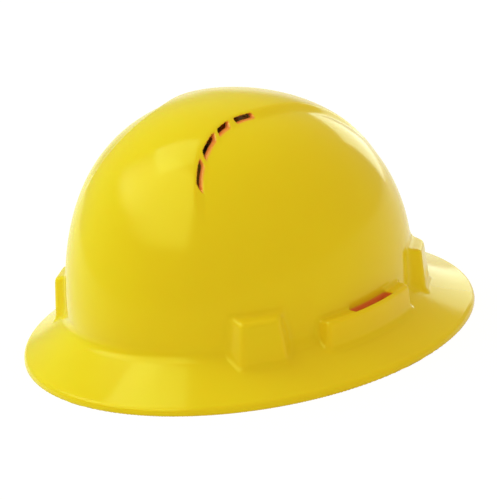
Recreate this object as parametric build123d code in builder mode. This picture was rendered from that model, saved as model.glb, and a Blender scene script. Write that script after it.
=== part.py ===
from build123d import *
import os
from math import acos, cos, degrees, hypot, pi, radians, sin, tan

# Full brim hard hat in millimetres: front of the hat towards -Y, the wearer's left towards +X,
# and the brim's lower rim resting on the plane Z = 0. The origin is under the middle of the brim.

# Brim: its outer rim is two half ellipses that share one width
BRIM_HALF_WIDTH = 136.5
BRIM_FRONT = 154.9
BRIM_BACK = 161.1
BRIM_MIDDLE_Y = (BRIM_FRONT - BRIM_BACK) / 2
LIP_HEIGHT = 4.2
LIP_ROUND = 1.2
BRIM_DROP = 3.0

# Crown: half ellipses again, on a middle line of their own
CROWN_HALF_WIDTH = 104.7
CROWN_FRONT = 118.9
CROWN_BACK = 122.3
CROWN_SETBACK = 5.3
CROWN_MIDDLE_Y = BRIM_MIDDLE_Y - CROWN_SETBACK
JUNCTION_HEIGHT = 24.5
CROWN_HEIGHT = 128.9
CREASE_ROUND = 2.5
WALL = 2.6

# Each reach of the crown is (1 - share ** first) ** (1 / second) of its reach at the junction
SIDE_CURVE_SHARES = (2.79, 2.16)
FRONT_CURVE_SHARES = (1.89, 2.50)
BACK_CURVE_SHARES = (2.27, 1.84)
CROWN_RING_SHARES = (0, 0.18, 0.35, 0.5, 0.64, 0.76, 0.86, 0.93, 0.97, 0.99, 0.998, 0.9998)
BRIM_RING_SHARES = (0, 0.25, 0.5, 0.75, 1)
BRIM_FALL_SHARE = 1.12

# Raised centre panel: it stands off the crown between two bevels, narrow at the front top
PANEL_RISE = 2.8
PANEL_DIP_SHARE = -0.35
PANEL_FADE_SHARES = (0.44, 0.82)
PANEL_AXIS_HEIGHT = 42.0
PANEL_HALF_WIDTH = 46.0
PANEL_MARGIN = 9.0
PANEL_INSET_SHARE = 0.35
PANEL_STATION_ANGLES = (-74, -58, -44, -30, -16, -4, 4, 10, 16, 24, 32, 39, 45, 53, 62, 74)
PANEL_CREST_SHARES = (
    (1.34, 1.15, 0.98, 0.87, 0.82, 0.80, 0.77, 0.67) + (0.63, 0.66, 0.74, 0.85, 0.97, 1.11, 1.23, 1.36)
)
PANEL_FOOT_SHARES = (
    (1.42, 1.23, 1.09, 0.99, 0.95, 0.93, 0.90, 0.84) + (0.79, 0.80, 0.87, 0.96, 1.08, 1.18, 1.29, 1.43)
)

# Vents: slots cut sideways through the bevels, each between two angles about the panel's axis
VENT_START_ANGLES = (5.6, 15.3, 23.1, 33.1)
VENT_END_ANGLES = (13.8, 21.7, 31.5, 42.7)
VENT_BAND_SHARES = (0.19, 0.84)
VENT_INWARD = 14.0
VENT_OUTWARD = 8.0

# Suspension sockets: hollow blocks at the crown's four corners, open under the brim
SOCKET_BEARING = 34.0
SOCKET_STAND = 8.0
SOCKET_SINK = 3.0
SOCKET_BOTTOM = 12.0
SOCKET_ROOT_TOP = 49.6
SOCKET_FACE_TOP = 45.5
SOCKET_ROOT_HALF_WIDTHS = (23.0, 16.1)
SOCKET_FACE_HALF_WIDTHS = (14.8, 11.35)
SOCKET_ROUND = 2.2
POCKET_WIDTH = 19.2
POCKET_WALL = 2.3
POCKET_INSIDE = 1.0
POCKET_TOP = 43.0

# Accessory slots: a curved bar on each side, with a slot between its outer wall and the crown
BAR_STAND = 9.0
BAR_FRONT_Y = -49.0
BAR_BACK_Y = 33.5
BAR_TOP = 36.0
BAR_BOTTOM = 14.0
BAR_DRAFT = 3.0
BAR_ROUND = 2.0
BAR_WALL = 2.4
BAR_SIDE_SHARE = 0.9
SLOT_FRONT_Y = -23.5
SLOT_BACK_Y = 12.5

# Recessed field on the back of the brim
FIELD_HALF_WIDTH = 88.0
FIELD_FLARE = 5.0
FIELD_FRONT_Y = 74.0
FIELD_DEPTH = 0.9
FIELD_CLEAR = 6.0

# Suspension ring: a front band, half oval ahead of its middle line and round behind it
BAND_MIDDLE_Y = 2.0
BAND_INSIDE = 83.0
BAND_FRONT = 105.4
BAND_THICKNESS = 1.6
BAND_FRONT_BOTTOM = 5.0
BAND_FRONT_TOP = 39.0
BAND_END_ANGLE = 45.0
RATCHET_HEIGHT = 22.0

# Nape arms: two racks in layers, bent about an upright axis at (0, BAND_MIDDLE_Y)
ARM_THICKNESS = 1.4
ARM_HEIGHT = 24.0
ARM_INNER_RADIUS = 79.2
ARM_LAYER_GAP = 0.4
ARM_FREE_ANGLE = 30.5
ARM_SLOT_ANGLE = 27.0
ARM_FRONT_ANGLE = 90.0
ARM_CLEAR = 0.4
ARM_END_ROUND = 4.0

# Pinion and rack teeth
MODULE = 1.4
PINION_TEETH = 8
PRESSURE_ANGLE = 25.0
PINION_ADDENDUM = 1.12
RACK_ADDENDUM = 0.95
TOOTH_CLEAR = 0.3
BACKLASH = 0.4

# Guides that hold each arm against the end of the front band
GUIDE_START_ANGLE = 57.0
GUIDE_END_ANGLE = 65.0
GUIDE_WALL = 1.5
GUIDE_CLEAR = 0.3

# Ratchet housing and its cover, bent like the arms
HOUSING_ANGLE = 21.0
HOUSING_HEIGHT = 31.0
HOUSING_WALL = 2.6
COVER_THICKNESS = 2.0
COVER_GAP = 0.15
DETENT_OUTER_RADIUS = 15.2
DETENT_VALLEY_RADIUS = 13.6
DETENT_TIP_RADIUS = 12.7
DETENT_TEETH = 36
DETENT_DEPTH = 3.6

# Pinion shaft, click spring, knob and screw
JOURNAL_RADIUS = 4.0
JOURNAL_CLEAR = 0.08
DRIVE_SIDE = 5.4
DRIVE_CLEAR = 0.05
DRIVE_LENGTH = 7.8
SPRING_GAP = 0.6
SPRING_THICKNESS = 2.0
SPRING_HUB_RADIUS = 5.4
SPRING_ARM_RADIUS = 10.2
SPRING_ARM_WIDTH = 1.3
SPRING_ARM_SWEEP = 130.0
SPRING_TIP_RADIUS = 1.1
SPRING_TIP_CLEAR = 0.2
KNOB_RADIUS = 19.0
KNOB_SKIRT = 3.0
KNOB_GAP = 0.8
KNOB_DEPTH = 15.0
KNOB_FACE = 3.4
KNOB_HUB_RADIUS = 5.6
KNOB_GRIPS = 16
KNOB_GRIP_RADIUS = 2.2
KNOB_GRIP_DEPTH = 1.0
KNOB_ROUND = 1.5
SCREW_RADIUS = 1.2
SCREW_HEAD_RADIUS = 2.6
SCREW_HEAD_DEPTH = 1.6
SCREW_CLEAR = 0.25
SCREW_BITE = 3.0

# Suspension keys: a tongue in the socket, a foot under the shell and an upright arm inside
KEY_CLEAR = 0.35
KEY_FOOT_BOTTOM = 15.2
KEY_FOOT_THICKNESS = 3.0
KEY_ARM_INSET = 9.5
KEY_ARM_THICKNESS = 2.5
KEY_ARM_WIDTH = 25.0
KEY_ARM_TOP = 66.0
KEY_BAR_HEIGHT = 4.0
KEY_SLOT_HEIGHT = 4.0
KEY_ROUND = 1.2
STUD_RADIUS = 2.6
STUD_HEAD_RADIUS = 3.3
STUD_HEAD_THICKNESS = 1.2
STUD_HEIGHT = 46.0

# Hanger tabs of the front band, with a row of holes for the wearing height
TAB_WIDTH = 15.0
TAB_THICKNESS = 1.9
TAB_GAP = 0.3
TAB_BOTTOM = 30.0
TAB_BEND = 37.5
TAB_TOP = 55.5
TAB_HOLE_PITCH = 5.2
TAB_HOLE_CLEAR = 0.4
TAB_FRONT_REACH = 13.8
TAB_BACK_REACH = 11.4

# Crown straps: woven webbing looped round the keys and crossing over the head
STRAP_WIDTH = 19.0
STRAP_THICKNESS = 1.4
STRAP_RISE = 53.0
STRAP_LOOP_GAP = 0.3
STRAP_LOOP_NARROW = 0.3
STRAP_STATIONS = 8

# Soft pads
BROW_THICKNESS = 5.0
BROW_HEIGHT = 36.0
BROW_HALF_ANGLE = 64.0
BROW_END_SHARES = (0.45, 0.80, 0.95, 1, 1, 1, 0.95, 0.80, 0.45)
NAPE_THICKNESS = 5.0
NAPE_HEIGHT = 34.0
NAPE_HALF_ANGLE = 31.0
PAD_GAP = 0.3
PAD_HEIGHT_SHARES = (0.72, 0.93, 1, 1, 1, 1, 1, 0.93, 0.72)
PAD_ROUND_SHARE = 0.42

# Extra length of every cutter, and the number of halvings in a search
OVERRUN = 20.0
SEARCH_STEPS = 40


def oval(height, half_width, front, back, middle_y):
    """A level face of two half ellipses that meet on the line y = middle_y."""
    with BuildSketch(Plane.XY.offset(height)) as face:
        with BuildLine():
            EllipticalCenterArc((0, middle_y), half_width, back, 0, arc_size=180)
            EllipticalCenterArc((0, middle_y), half_width, front, 180, arc_size=180)
        make_face()
    return face.sketch


def crown_reach(share, inset):
    """Half width, front reach and back reach of the crown at a share of its height."""
    reaches = []
    for base, (first, second) in (
        (CROWN_HALF_WIDTH, SIDE_CURVE_SHARES),
        (CROWN_FRONT, FRONT_CURVE_SHARES),
        (CROWN_BACK, BACK_CURVE_SHARES),
    ):
        reaches.append((base - inset) * (1 - share**first) ** (1 / second))
    return reaches


def panel_lift(share):
    """How far the raised dome stands above the plain one, from slightly under it to PANEL_RISE."""
    low, high = PANEL_FADE_SHARES
    step = min(1, max(0, (share - low) / (high - low)))
    smooth = step * step * (3 - 2 * step)
    return PANEL_RISE * (PANEL_DIP_SHARE + (1 - PANEL_DIP_SHARE) * smooth)


def dome(inset, raised):
    """The crown as a loft of ovals, drawn in by inset and lifted where it is raised."""
    rings = []
    for share in CROWN_RING_SHARES:
        lift = panel_lift(share) if raised else 0
        height = JUNCTION_HEIGHT + (CROWN_HEIGHT - inset) * share + lift
        rings.append(oval(height, *crown_reach(share, inset), CROWN_MIDDLE_Y))
    with BuildPart() as form:
        loft(rings)
    return form.part


def brim_height(share):
    """Height of the brim's upper face at a share of the way from the crown to the rim."""
    return LIP_HEIGHT + (JUNCTION_HEIGHT - LIP_HEIGHT) * (1 - share) ** BRIM_FALL_SHARE


def brim(inset, drop):
    """The solid cone under the brim's upper face, drawn in by inset and lowered by drop."""
    rings = []
    for share in BRIM_RING_SHARES:
        half_width = CROWN_HALF_WIDTH + (BRIM_HALF_WIDTH - CROWN_HALF_WIDTH) * share - inset
        front = CROWN_FRONT + (BRIM_FRONT - CROWN_FRONT) * share - inset
        back = CROWN_BACK + (BRIM_BACK - CROWN_BACK) * share - inset
        middle_y = CROWN_MIDDLE_Y + (BRIM_MIDDLE_Y - CROWN_MIDDLE_Y) * share
        rings.append(oval(brim_height(share) - drop, half_width, front, back, middle_y))
    with BuildPart() as form:
        loft(rings)
    return form.part


def crown_place(bearing):
    """The point of the crown's base outline whose outward normal has this bearing from +X."""
    reach = CROWN_BACK if bearing > 0 else CROWN_FRONT
    across = CROWN_HALF_WIDTH * cos(radians(bearing))
    along = reach * sin(radians(bearing))
    spread = hypot(across, along)
    return CROWN_HALF_WIDTH * across / spread, CROWN_MIDDLE_Y + reach * along / spread


def socket_plane(bearing):
    """Upright plane against the crown at this bearing: X level, Y up, normal outward."""
    x, y = crown_place(bearing)
    turn = radians(bearing)
    return Plane(origin=(x, y, 0), x_dir=(-sin(turn), cos(turn), 0), z_dir=(cos(turn), sin(turn), 0))


def panel_plane(angle):
    """Plane through the panel's axis, with its Y up towards the front by this angle from upright."""
    lean = radians(angle)
    origin = (0, CROWN_MIDDLE_Y, PANEL_AXIS_HEIGHT)
    return Plane(origin=origin, x_dir=(1, 0, 0), z_dir=(0, -cos(lean), -sin(lean)))


def dome_radius(x, angle, inset, raised):
    """Distance from the panel's axis to the dome, at x and at this angle from upright."""
    low, high = 0, 1
    radius = 0
    for step in range(SEARCH_STEPS):
        share = (low + high) / 2
        half_width, front, back = crown_reach(share, inset)
        lift = panel_lift(share) if raised else 0
        height = JUNCTION_HEIGHT + (CROWN_HEIGHT - inset) * share + lift
        radius = (height - PANEL_AXIS_HEIGHT) / cos(radians(angle))
        reach = front if angle > 0 else back
        outside = (x / half_width) ** 2 + (radius * sin(radians(angle)) / reach) ** 2 > 1
        if outside:
            high = share
        else:
            low = share
    return radius


def bevel(angle, crest_share, foot_share, inset):
    """Crest and foot of the bevel at an angle: half widths and radii from the panel's axis."""
    crest_x = PANEL_HALF_WIDTH * crest_share - inset * PANEL_INSET_SHARE
    foot_x = PANEL_HALF_WIDTH * foot_share - inset * PANEL_INSET_SHARE
    crest_radius = dome_radius(crest_x, angle, inset, True)
    foot_radius = dome_radius(foot_x, angle, inset, False)
    return crest_x, crest_radius, foot_x, foot_radius


def panel(inset):
    """The raised centre panel: the raised dome between two bevels that follow the stations."""
    stations = []
    for angle, crest_share, foot_share in zip(PANEL_STATION_ANGLES, PANEL_CREST_SHARES, PANEL_FOOT_SHARES):
        crest_x, crest_radius, foot_x, foot_radius = bevel(angle, crest_share, foot_share, inset)
        slope = (foot_x - crest_x) / (crest_radius - foot_radius)
        low_x = foot_x + PANEL_MARGIN * slope
        high_x = crest_x - PANEL_MARGIN * slope
        low_radius = foot_radius - PANEL_MARGIN
        high_radius = crest_radius + PANEL_MARGIN
        corners = [(-low_x, low_radius), (low_x, low_radius), (high_x, high_radius), (-high_x, high_radius)]
        with BuildSketch(panel_plane(angle)) as station:
            with BuildLine():
                Polyline(corners, close=True)
            make_face()
        stations.append(station.sketch)
    with BuildPart() as form:
        loft(stations)
        add(dome(inset, True), mode=Mode.INTERSECT)
    return form.part


def share_at(angle, shares):
    """A station share read off between the panel's stations."""
    for index in range(len(PANEL_STATION_ANGLES) - 1):
        start, end = PANEL_STATION_ANGLES[index], PANEL_STATION_ANGLES[index + 1]
        if start <= angle <= end:
            step = (angle - start) / (end - start)
            return shares[index] + (shares[index + 1] - shares[index]) * step
    return shares[-1]


def vent_corner(angle, band_share):
    """A corner of a vent, looking along X, on the bevel at an angle and a share of its height."""
    crest_share = share_at(angle, PANEL_CREST_SHARES)
    foot_share = share_at(angle, PANEL_FOOT_SHARES)
    crest_radius, foot_radius = bevel(angle, crest_share, foot_share, 0)[1::2]
    radius = foot_radius + (crest_radius - foot_radius) * band_share
    y = CROWN_MIDDLE_Y - radius * sin(radians(angle))
    z = PANEL_AXIS_HEIGHT + radius * cos(radians(angle))
    return y, z


def vent_x(angle):
    """How far the middle of the bevel is from the hat's middle plane at an angle."""
    return PANEL_HALF_WIDTH * (share_at(angle, PANEL_CREST_SHARES) + share_at(angle, PANEL_FOOT_SHARES)) / 2


def socket_outline(plane, half_widths, top):
    """The upright trapezoid of a suspension socket, wider at its foot."""
    wide, narrow = half_widths
    with BuildSketch(plane) as face:
        with BuildLine():
            Polyline(
                (-wide, SOCKET_BOTTOM),
                (wide, SOCKET_BOTTOM),
                (narrow, top),
                (-narrow, top),
                close=True,
            )
        make_face()
    return face.sketch


def socket(bearing):
    """One socket block, drafted on its sides and top, with rounded outer edges."""
    plane = socket_plane(bearing)
    root = socket_outline(plane.offset(-SOCKET_SINK), SOCKET_ROOT_HALF_WIDTHS, SOCKET_ROOT_TOP)
    front = socket_outline(plane.offset(SOCKET_STAND), SOCKET_FACE_HALF_WIDTHS, SOCKET_FACE_TOP)
    with BuildPart() as block:
        loft([root, front])
        outer_face = block.faces().sort_by(Axis(plane.origin, plane.z_dir))[-1]
        low = SOCKET_BOTTOM + SOCKET_ROUND
        fillet(outer_face.edges().filter_by_position(Axis.Z, low, SOCKET_ROOT_TOP), SOCKET_ROUND)
    return block.part


def pocket(bearing):
    """The slot inside a socket block, open under the brim."""
    depth = SOCKET_STAND - POCKET_WALL - POCKET_INSIDE
    with BuildPart() as hollow:
        with BuildSketch(socket_plane(bearing).offset(POCKET_INSIDE)):
            with Locations((0, (POCKET_TOP - OVERRUN) / 2)):
                Rectangle(POCKET_WIDTH, POCKET_TOP + OVERRUN)
        extrude(amount=depth)
    return hollow.part


def crown_ring(grow, bottom, top):
    """A solid disc of the crown's base outline, grown outward."""
    half_width = CROWN_HALF_WIDTH + grow
    face = oval(bottom, half_width, CROWN_FRONT + grow, CROWN_BACK + grow, CROWN_MIDDLE_Y)
    with BuildPart() as disc:
        add(face)
        extrude(amount=top - bottom)
    return disc.part


def side_block(front_y, back_y, bottom, top, draft, grow):
    """A block on the wearer's left between two cross planes, curved along the crown outside."""
    with BuildPart() as block:
        with BuildSketch(Plane.YZ):
            with BuildLine():
                Polyline(
                    (front_y, bottom),
                    (back_y, bottom),
                    (back_y - draft, top),
                    (front_y + draft, top),
                    close=True,
                )
            make_face()
        extrude(amount=CROWN_HALF_WIDTH + grow + OVERRUN)
        add(crown_ring(grow, bottom, top), mode=Mode.INTERSECT)
    return block.part


def side_bar():
    """The accessory bar on the wearer's left: an outer wall with a slot behind it, and two ends."""
    with BuildPart() as bar:
        add(side_block(BAR_FRONT_Y, BAR_BACK_Y, BAR_BOTTOM, BAR_TOP, BAR_DRAFT, BAR_STAND))
        edges = bar.edges().filter_by_position(Axis.X, CROWN_HALF_WIDTH * BAR_SIDE_SHARE, BRIM_HALF_WIDTH)
        rim = edges.filter_by_position(Axis.Z, BAR_BOTTOM + BAR_ROUND, BAR_TOP)
        fillet(rim, BAR_ROUND)
        slot = side_block(SLOT_FRONT_Y, SLOT_BACK_Y, BAR_BOTTOM, BAR_TOP + OVERRUN, 0, BAR_STAND - BAR_WALL)
        add(slot, mode=Mode.SUBTRACT)
    return bar.part


def vent(start, end):
    """The sideways cutter of one vent on the wearer's left."""
    low, high = VENT_BAND_SHARES
    middle = (start + end) / 2
    with BuildPart() as cutter:
        with BuildSketch(Plane.YZ.offset(vent_x(middle) - VENT_INWARD)):
            with BuildLine():
                Polyline(
                    vent_corner(start, low),
                    vent_corner(middle, low),
                    vent_corner(end, low),
                    vent_corner(end, high),
                    vent_corner(middle, high),
                    vent_corner(start, high),
                    close=True,
                )
            make_face()
        extrude(amount=VENT_INWARD + VENT_OUTWARD)
    return cutter.part


def field():
    """The cutter of the shallow recess on the back of the brim."""
    with BuildPart() as recess:
        with BuildSketch():
            with BuildLine():
                Polyline(
                    (-FIELD_HALF_WIDTH, FIELD_FRONT_Y),
                    (FIELD_HALF_WIDTH, FIELD_FRONT_Y),
                    (FIELD_HALF_WIDTH + FIELD_FLARE, BRIM_BACK),
                    (-FIELD_HALF_WIDTH - FIELD_FLARE, BRIM_BACK),
                    close=True,
                )
            make_face()
        extrude(amount=JUNCTION_HEIGHT + OVERRUN)
        add(brim(0, FIELD_DEPTH), mode=Mode.SUBTRACT)
        below = brim_height(1) - FIELD_DEPTH
        with BuildSketch():
            Rectangle(2 * BRIM_HALF_WIDTH, 2 * BRIM_BACK)
        extrude(amount=below, mode=Mode.SUBTRACT)
        add(crown_ring(FIELD_CLEAR, 0, JUNCTION_HEIGHT + 2 * OVERRUN), mode=Mode.SUBTRACT)
    return recess.part


# Space inside the hat, from below the rim up to the underside of the crown
with BuildPart() as inside:
    add(dome(WALL, False))
    add(panel(WALL))
    add(brim(WALL, BRIM_DROP))
    add(oval(-OVERRUN, BRIM_HALF_WIDTH - WALL, BRIM_FRONT - WALL, BRIM_BACK - WALL, BRIM_MIDDLE_Y))
    extrude(amount=OVERRUN + LIP_HEIGHT - BRIM_DROP)
    add(oval(BAR_BOTTOM, CROWN_HALF_WIDTH - WALL, CROWN_FRONT - WALL, CROWN_BACK - WALL, CROWN_MIDDLE_Y))
    extrude(amount=JUNCTION_HEIGHT - BAR_BOTTOM)

blocks = [socket(SOCKET_BEARING), socket(-SOCKET_BEARING), side_bar()]
hollows = [pocket(SOCKET_BEARING), pocket(-SOCKET_BEARING)]
for start, end in zip(VENT_START_ANGLES, VENT_END_ANGLES):
    hollows.append(vent(start, end))

# Shell: brim and crown in one moulding
with BuildPart() as shell:
    add(brim(0, 0))
    add(oval(0, BRIM_HALF_WIDTH, BRIM_FRONT, BRIM_BACK, BRIM_MIDDLE_Y))
    extrude(amount=LIP_HEIGHT)
    add(dome(0, False))
    low, high = JUNCTION_HEIGHT - WALL / 2, JUNCTION_HEIGHT + WALL / 2
    crease = shell.edges().filter_by_position(Axis.Z, low, high)
    fillet(crease, CREASE_ROUND)
    rim = shell.edges().filter_by_position(Axis.Z, LIP_HEIGHT - LIP_ROUND / 2, LIP_HEIGHT + LIP_ROUND / 2)
    fillet(rim, LIP_ROUND)
    add(field(), mode=Mode.SUBTRACT)
    add([panel(0)] + blocks + [mirror(block, Plane.YZ) for block in blocks])
    add([inside.part] + hollows + [mirror(hollow, Plane.YZ) for hollow in hollows], mode=Mode.SUBTRACT)
shell.part.label = "shell"


def polar(radius, angle):
    """A point round the arms' axis, at an angle from +Y towards the wearer's left."""
    return radius * sin(radians(angle)), BAND_MIDDLE_Y + radius * cos(radians(angle))


def sector(inner, outer, start, end, bottom, top):
    """A bent bar round the arms' axis, between two radii, two angles and two heights."""
    middle = (start + end) / 2
    with BuildPart() as bar:
        with BuildSketch(Plane.XY.offset(bottom)):
            with BuildLine():
                ThreePointArc(polar(outer, start), polar(outer, middle), polar(outer, end))
                Line(polar(outer, end), polar(inner, end))
                ThreePointArc(polar(inner, end), polar(inner, middle), polar(inner, start))
                Line(polar(inner, start), polar(outer, start))
            make_face()
        extrude(amount=top - bottom)
    return bar.part


def ratchet_plane(reach):
    """Upright plane square to the knob's axis, this far behind the arms' axis."""
    return Plane(origin=(0, BAND_MIDDLE_Y + reach, RATCHET_HEIGHT), x_dir=(-1, 0, 0), z_dir=(0, 1, 0))


PITCH_RADIUS = MODULE * PINION_TEETH / 2
ARM_BOTTOM = RATCHET_HEIGHT - ARM_HEIGHT / 2
ARM_TOP = RATCHET_HEIGHT + ARM_HEIGHT / 2
ARM_OUTER_RADIUS = ARM_INNER_RADIUS + ARM_THICKNESS + ARM_LAYER_GAP
PASSAGE_INSIDE = ARM_INNER_RADIUS - ARM_CLEAR
PASSAGE_OUTSIDE = ARM_OUTER_RADIUS + ARM_THICKNESS + ARM_CLEAR


def nape_arm(inner, side):
    """A nape arm: a bent strip with a long slot, toothed above on the left arm and below on the right."""
    outer = inner + ARM_THICKNESS
    tooth_angle = degrees(pi * MODULE / (inner + ARM_THICKNESS / 2))
    reach = PITCH_RADIUS - RACK_ADDENDUM
    clear = PITCH_RADIUS + PINION_ADDENDUM + TOOTH_CLEAR
    slot = (RATCHET_HEIGHT - clear, RATCHET_HEIGHT + reach)
    if side < 0:
        slot = (RATCHET_HEIGHT - reach, RATCHET_HEIGHT + clear)
    lean = tan(radians(PRESSURE_ANGLE))
    half_space = (pi * MODULE + BACKLASH) / 4
    with BuildPart() as spaces:
        for index in range(int(ARM_SLOT_ANGLE / tooth_angle)):
            for turn in (index + 0.5, -index - 0.5):
                x, y = polar(inner - ARM_THICKNESS, turn * tooth_angle)
                away = (x, y - BAND_MIDDLE_Y, 0)
                plane = Plane(origin=(x, y, RATCHET_HEIGHT), x_dir=(-away[1], away[0], 0), z_dir=away)
                root = side * clear
                tip = side * (reach - TOOTH_CLEAR)
                root_half = half_space - (clear - PITCH_RADIUS) * lean
                tip_half = half_space + (PITCH_RADIUS - reach + TOOTH_CLEAR) * lean
                corners = [(-tip_half, tip), (tip_half, tip), (root_half, root), (-root_half, root)]
                with BuildSketch(plane):
                    with BuildLine():
                        Polyline(corners, close=True)
                    make_face()
                extrude(amount=3 * ARM_THICKNESS)
    with BuildPart() as arm:
        add(sector(inner, outer, -side * ARM_FREE_ANGLE, side * ARM_FRONT_ANGLE, ARM_BOTTOM, ARM_TOP))
        ends = arm.edges().filter_by(lambda edge: edge.length < 2 * ARM_THICKNESS)
        fillet(ends, ARM_END_ROUND)
        window = sector(inner - OVERRUN, outer + OVERRUN, -ARM_SLOT_ANGLE, ARM_SLOT_ANGLE, slot[0], slot[1])
        add([window, spaces.part], mode=Mode.SUBTRACT)
    return arm.part


def involute(radius):
    """Angle in radians that an involute has turned through at a radius of the pinion."""
    base = PITCH_RADIUS * cos(radians(PRESSURE_ANGLE))
    ratio = max(radius / base, 1)
    return (ratio * ratio - 1) ** 0.5 - acos(1 / ratio)


def flank_angle(radius):
    """Half of a pinion tooth's angle at a radius."""
    half_tooth = (pi * MODULE - BACKLASH) / 4 / PITCH_RADIUS
    return degrees(half_tooth + involute(PITCH_RADIUS) - involute(radius))


def turned(radius, angle):
    """A point of the pinion's outline, at an angle from its level line."""
    return radius * cos(radians(angle)), radius * sin(radians(angle))


# Front band: a strip with four hanger tabs, higher over the brow than at its ends
def band_oval(grow, bottom, top):
    """A solid disc of the front band's inner outline, grown outward."""
    face = oval(bottom, BAND_INSIDE + grow, BAND_FRONT + grow, BAND_INSIDE + grow, BAND_MIDDLE_Y)
    with BuildPart() as disc:
        add(face)
        extrude(amount=top - bottom)
    return disc.part


def upright_profile(bearing):
    """Plane square to the crown at a bearing: X outward, Y up."""
    x, y = crown_place(bearing)
    turn = radians(bearing)
    return Plane(origin=(x, y, 0), x_dir=(cos(turn), sin(turn), 0), z_dir=(sin(turn), -cos(turn), 0))


def hanger_tab(bearing, reach):
    """One hanger tab, leaning out from the band to stand against its key, with three holes."""
    face = -KEY_ARM_INSET - KEY_ARM_THICKNESS - TAB_GAP
    back = face - TAB_THICKNESS
    foot = face - reach + TAB_THICKNESS
    with BuildPart() as tab:
        with BuildSketch(upright_profile(bearing)):
            with BuildLine():
                Polyline(
                    (foot, TAB_BOTTOM),
                    (face, TAB_BEND),
                    (face, TAB_TOP),
                    (back, TAB_TOP),
                    (back, TAB_BEND + TAB_THICKNESS / 2),
                    (foot, TAB_BOTTOM + TAB_THICKNESS),
                    close=True,
                )
            make_face()
        extrude(amount=TAB_WIDTH / 2, both=True)
        top = tab.edges().filter_by_position(Axis.Z, TAB_TOP - TAB_GAP, TAB_TOP + TAB_GAP)
        fillet(top.filter_by(lambda edge: edge.length < TAB_WIDTH / 2), TAB_WIDTH / 4)
        for step in (-1, 0, 1):
            with BuildSketch(socket_plane(bearing).offset(face + TAB_GAP)):
                with Locations((0, STUD_HEIGHT + step * TAB_HOLE_PITCH)):
                    Circle(STUD_RADIUS + TAB_HOLE_CLEAR)
            extrude(amount=-2 * TAB_THICKNESS, mode=Mode.SUBTRACT)
    return tab.part


with BuildPart() as headband:
    add(band_oval(BAND_THICKNESS, BAND_FRONT_BOTTOM, BAND_FRONT_TOP))
    add(band_oval(0, BAND_FRONT_BOTTOM - OVERRUN, BAND_FRONT_TOP + OVERRUN), mode=Mode.SUBTRACT)
    with BuildSketch(Plane.YZ):
        with BuildLine():
            Spline(
                (BAND_MIDDLE_Y - BAND_FRONT - OVERRUN, BAND_FRONT_BOTTOM),
                (BAND_MIDDLE_Y - BAND_FRONT / 2, BAND_FRONT_BOTTOM),
                (BAND_MIDDLE_Y, ARM_BOTTOM),
                (BAND_MIDDLE_Y + BAND_INSIDE, ARM_BOTTOM),
                tangents=((1, 0), (1, 0)),
            )
            Line((BAND_MIDDLE_Y + BAND_INSIDE, ARM_BOTTOM), (BAND_MIDDLE_Y + BAND_INSIDE, ARM_TOP))
            Spline(
                (BAND_MIDDLE_Y + BAND_INSIDE, ARM_TOP),
                (BAND_MIDDLE_Y, ARM_TOP),
                (BAND_MIDDLE_Y - BAND_FRONT / 2, BAND_FRONT_TOP),
                (BAND_MIDDLE_Y - BAND_FRONT - OVERRUN, BAND_FRONT_TOP),
                tangents=((-1, 0), (-1, 0)),
            )
            Line(
                (BAND_MIDDLE_Y - BAND_FRONT - OVERRUN, BAND_FRONT_TOP),
                (BAND_MIDDLE_Y - BAND_FRONT - OVERRUN, BAND_FRONT_BOTTOM),
            )
        make_face()
    extrude(amount=BAND_INSIDE + OVERRUN, both=True, mode=Mode.INTERSECT)
    back_gap = sector(OVERRUN, BAND_INSIDE + OVERRUN, -BAND_END_ANGLE, BAND_END_ANGLE, 0, ARM_TOP + OVERRUN)
    add(back_gap, mode=Mode.SUBTRACT)
    front_tab = hanger_tab(-SOCKET_BEARING, TAB_FRONT_REACH)
    back_tab = hanger_tab(SOCKET_BEARING, TAB_BACK_REACH)
    add([front_tab, back_tab, mirror(front_tab, Plane.YZ), mirror(back_tab, Plane.YZ)])
headband.part.label = "headband"


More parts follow.
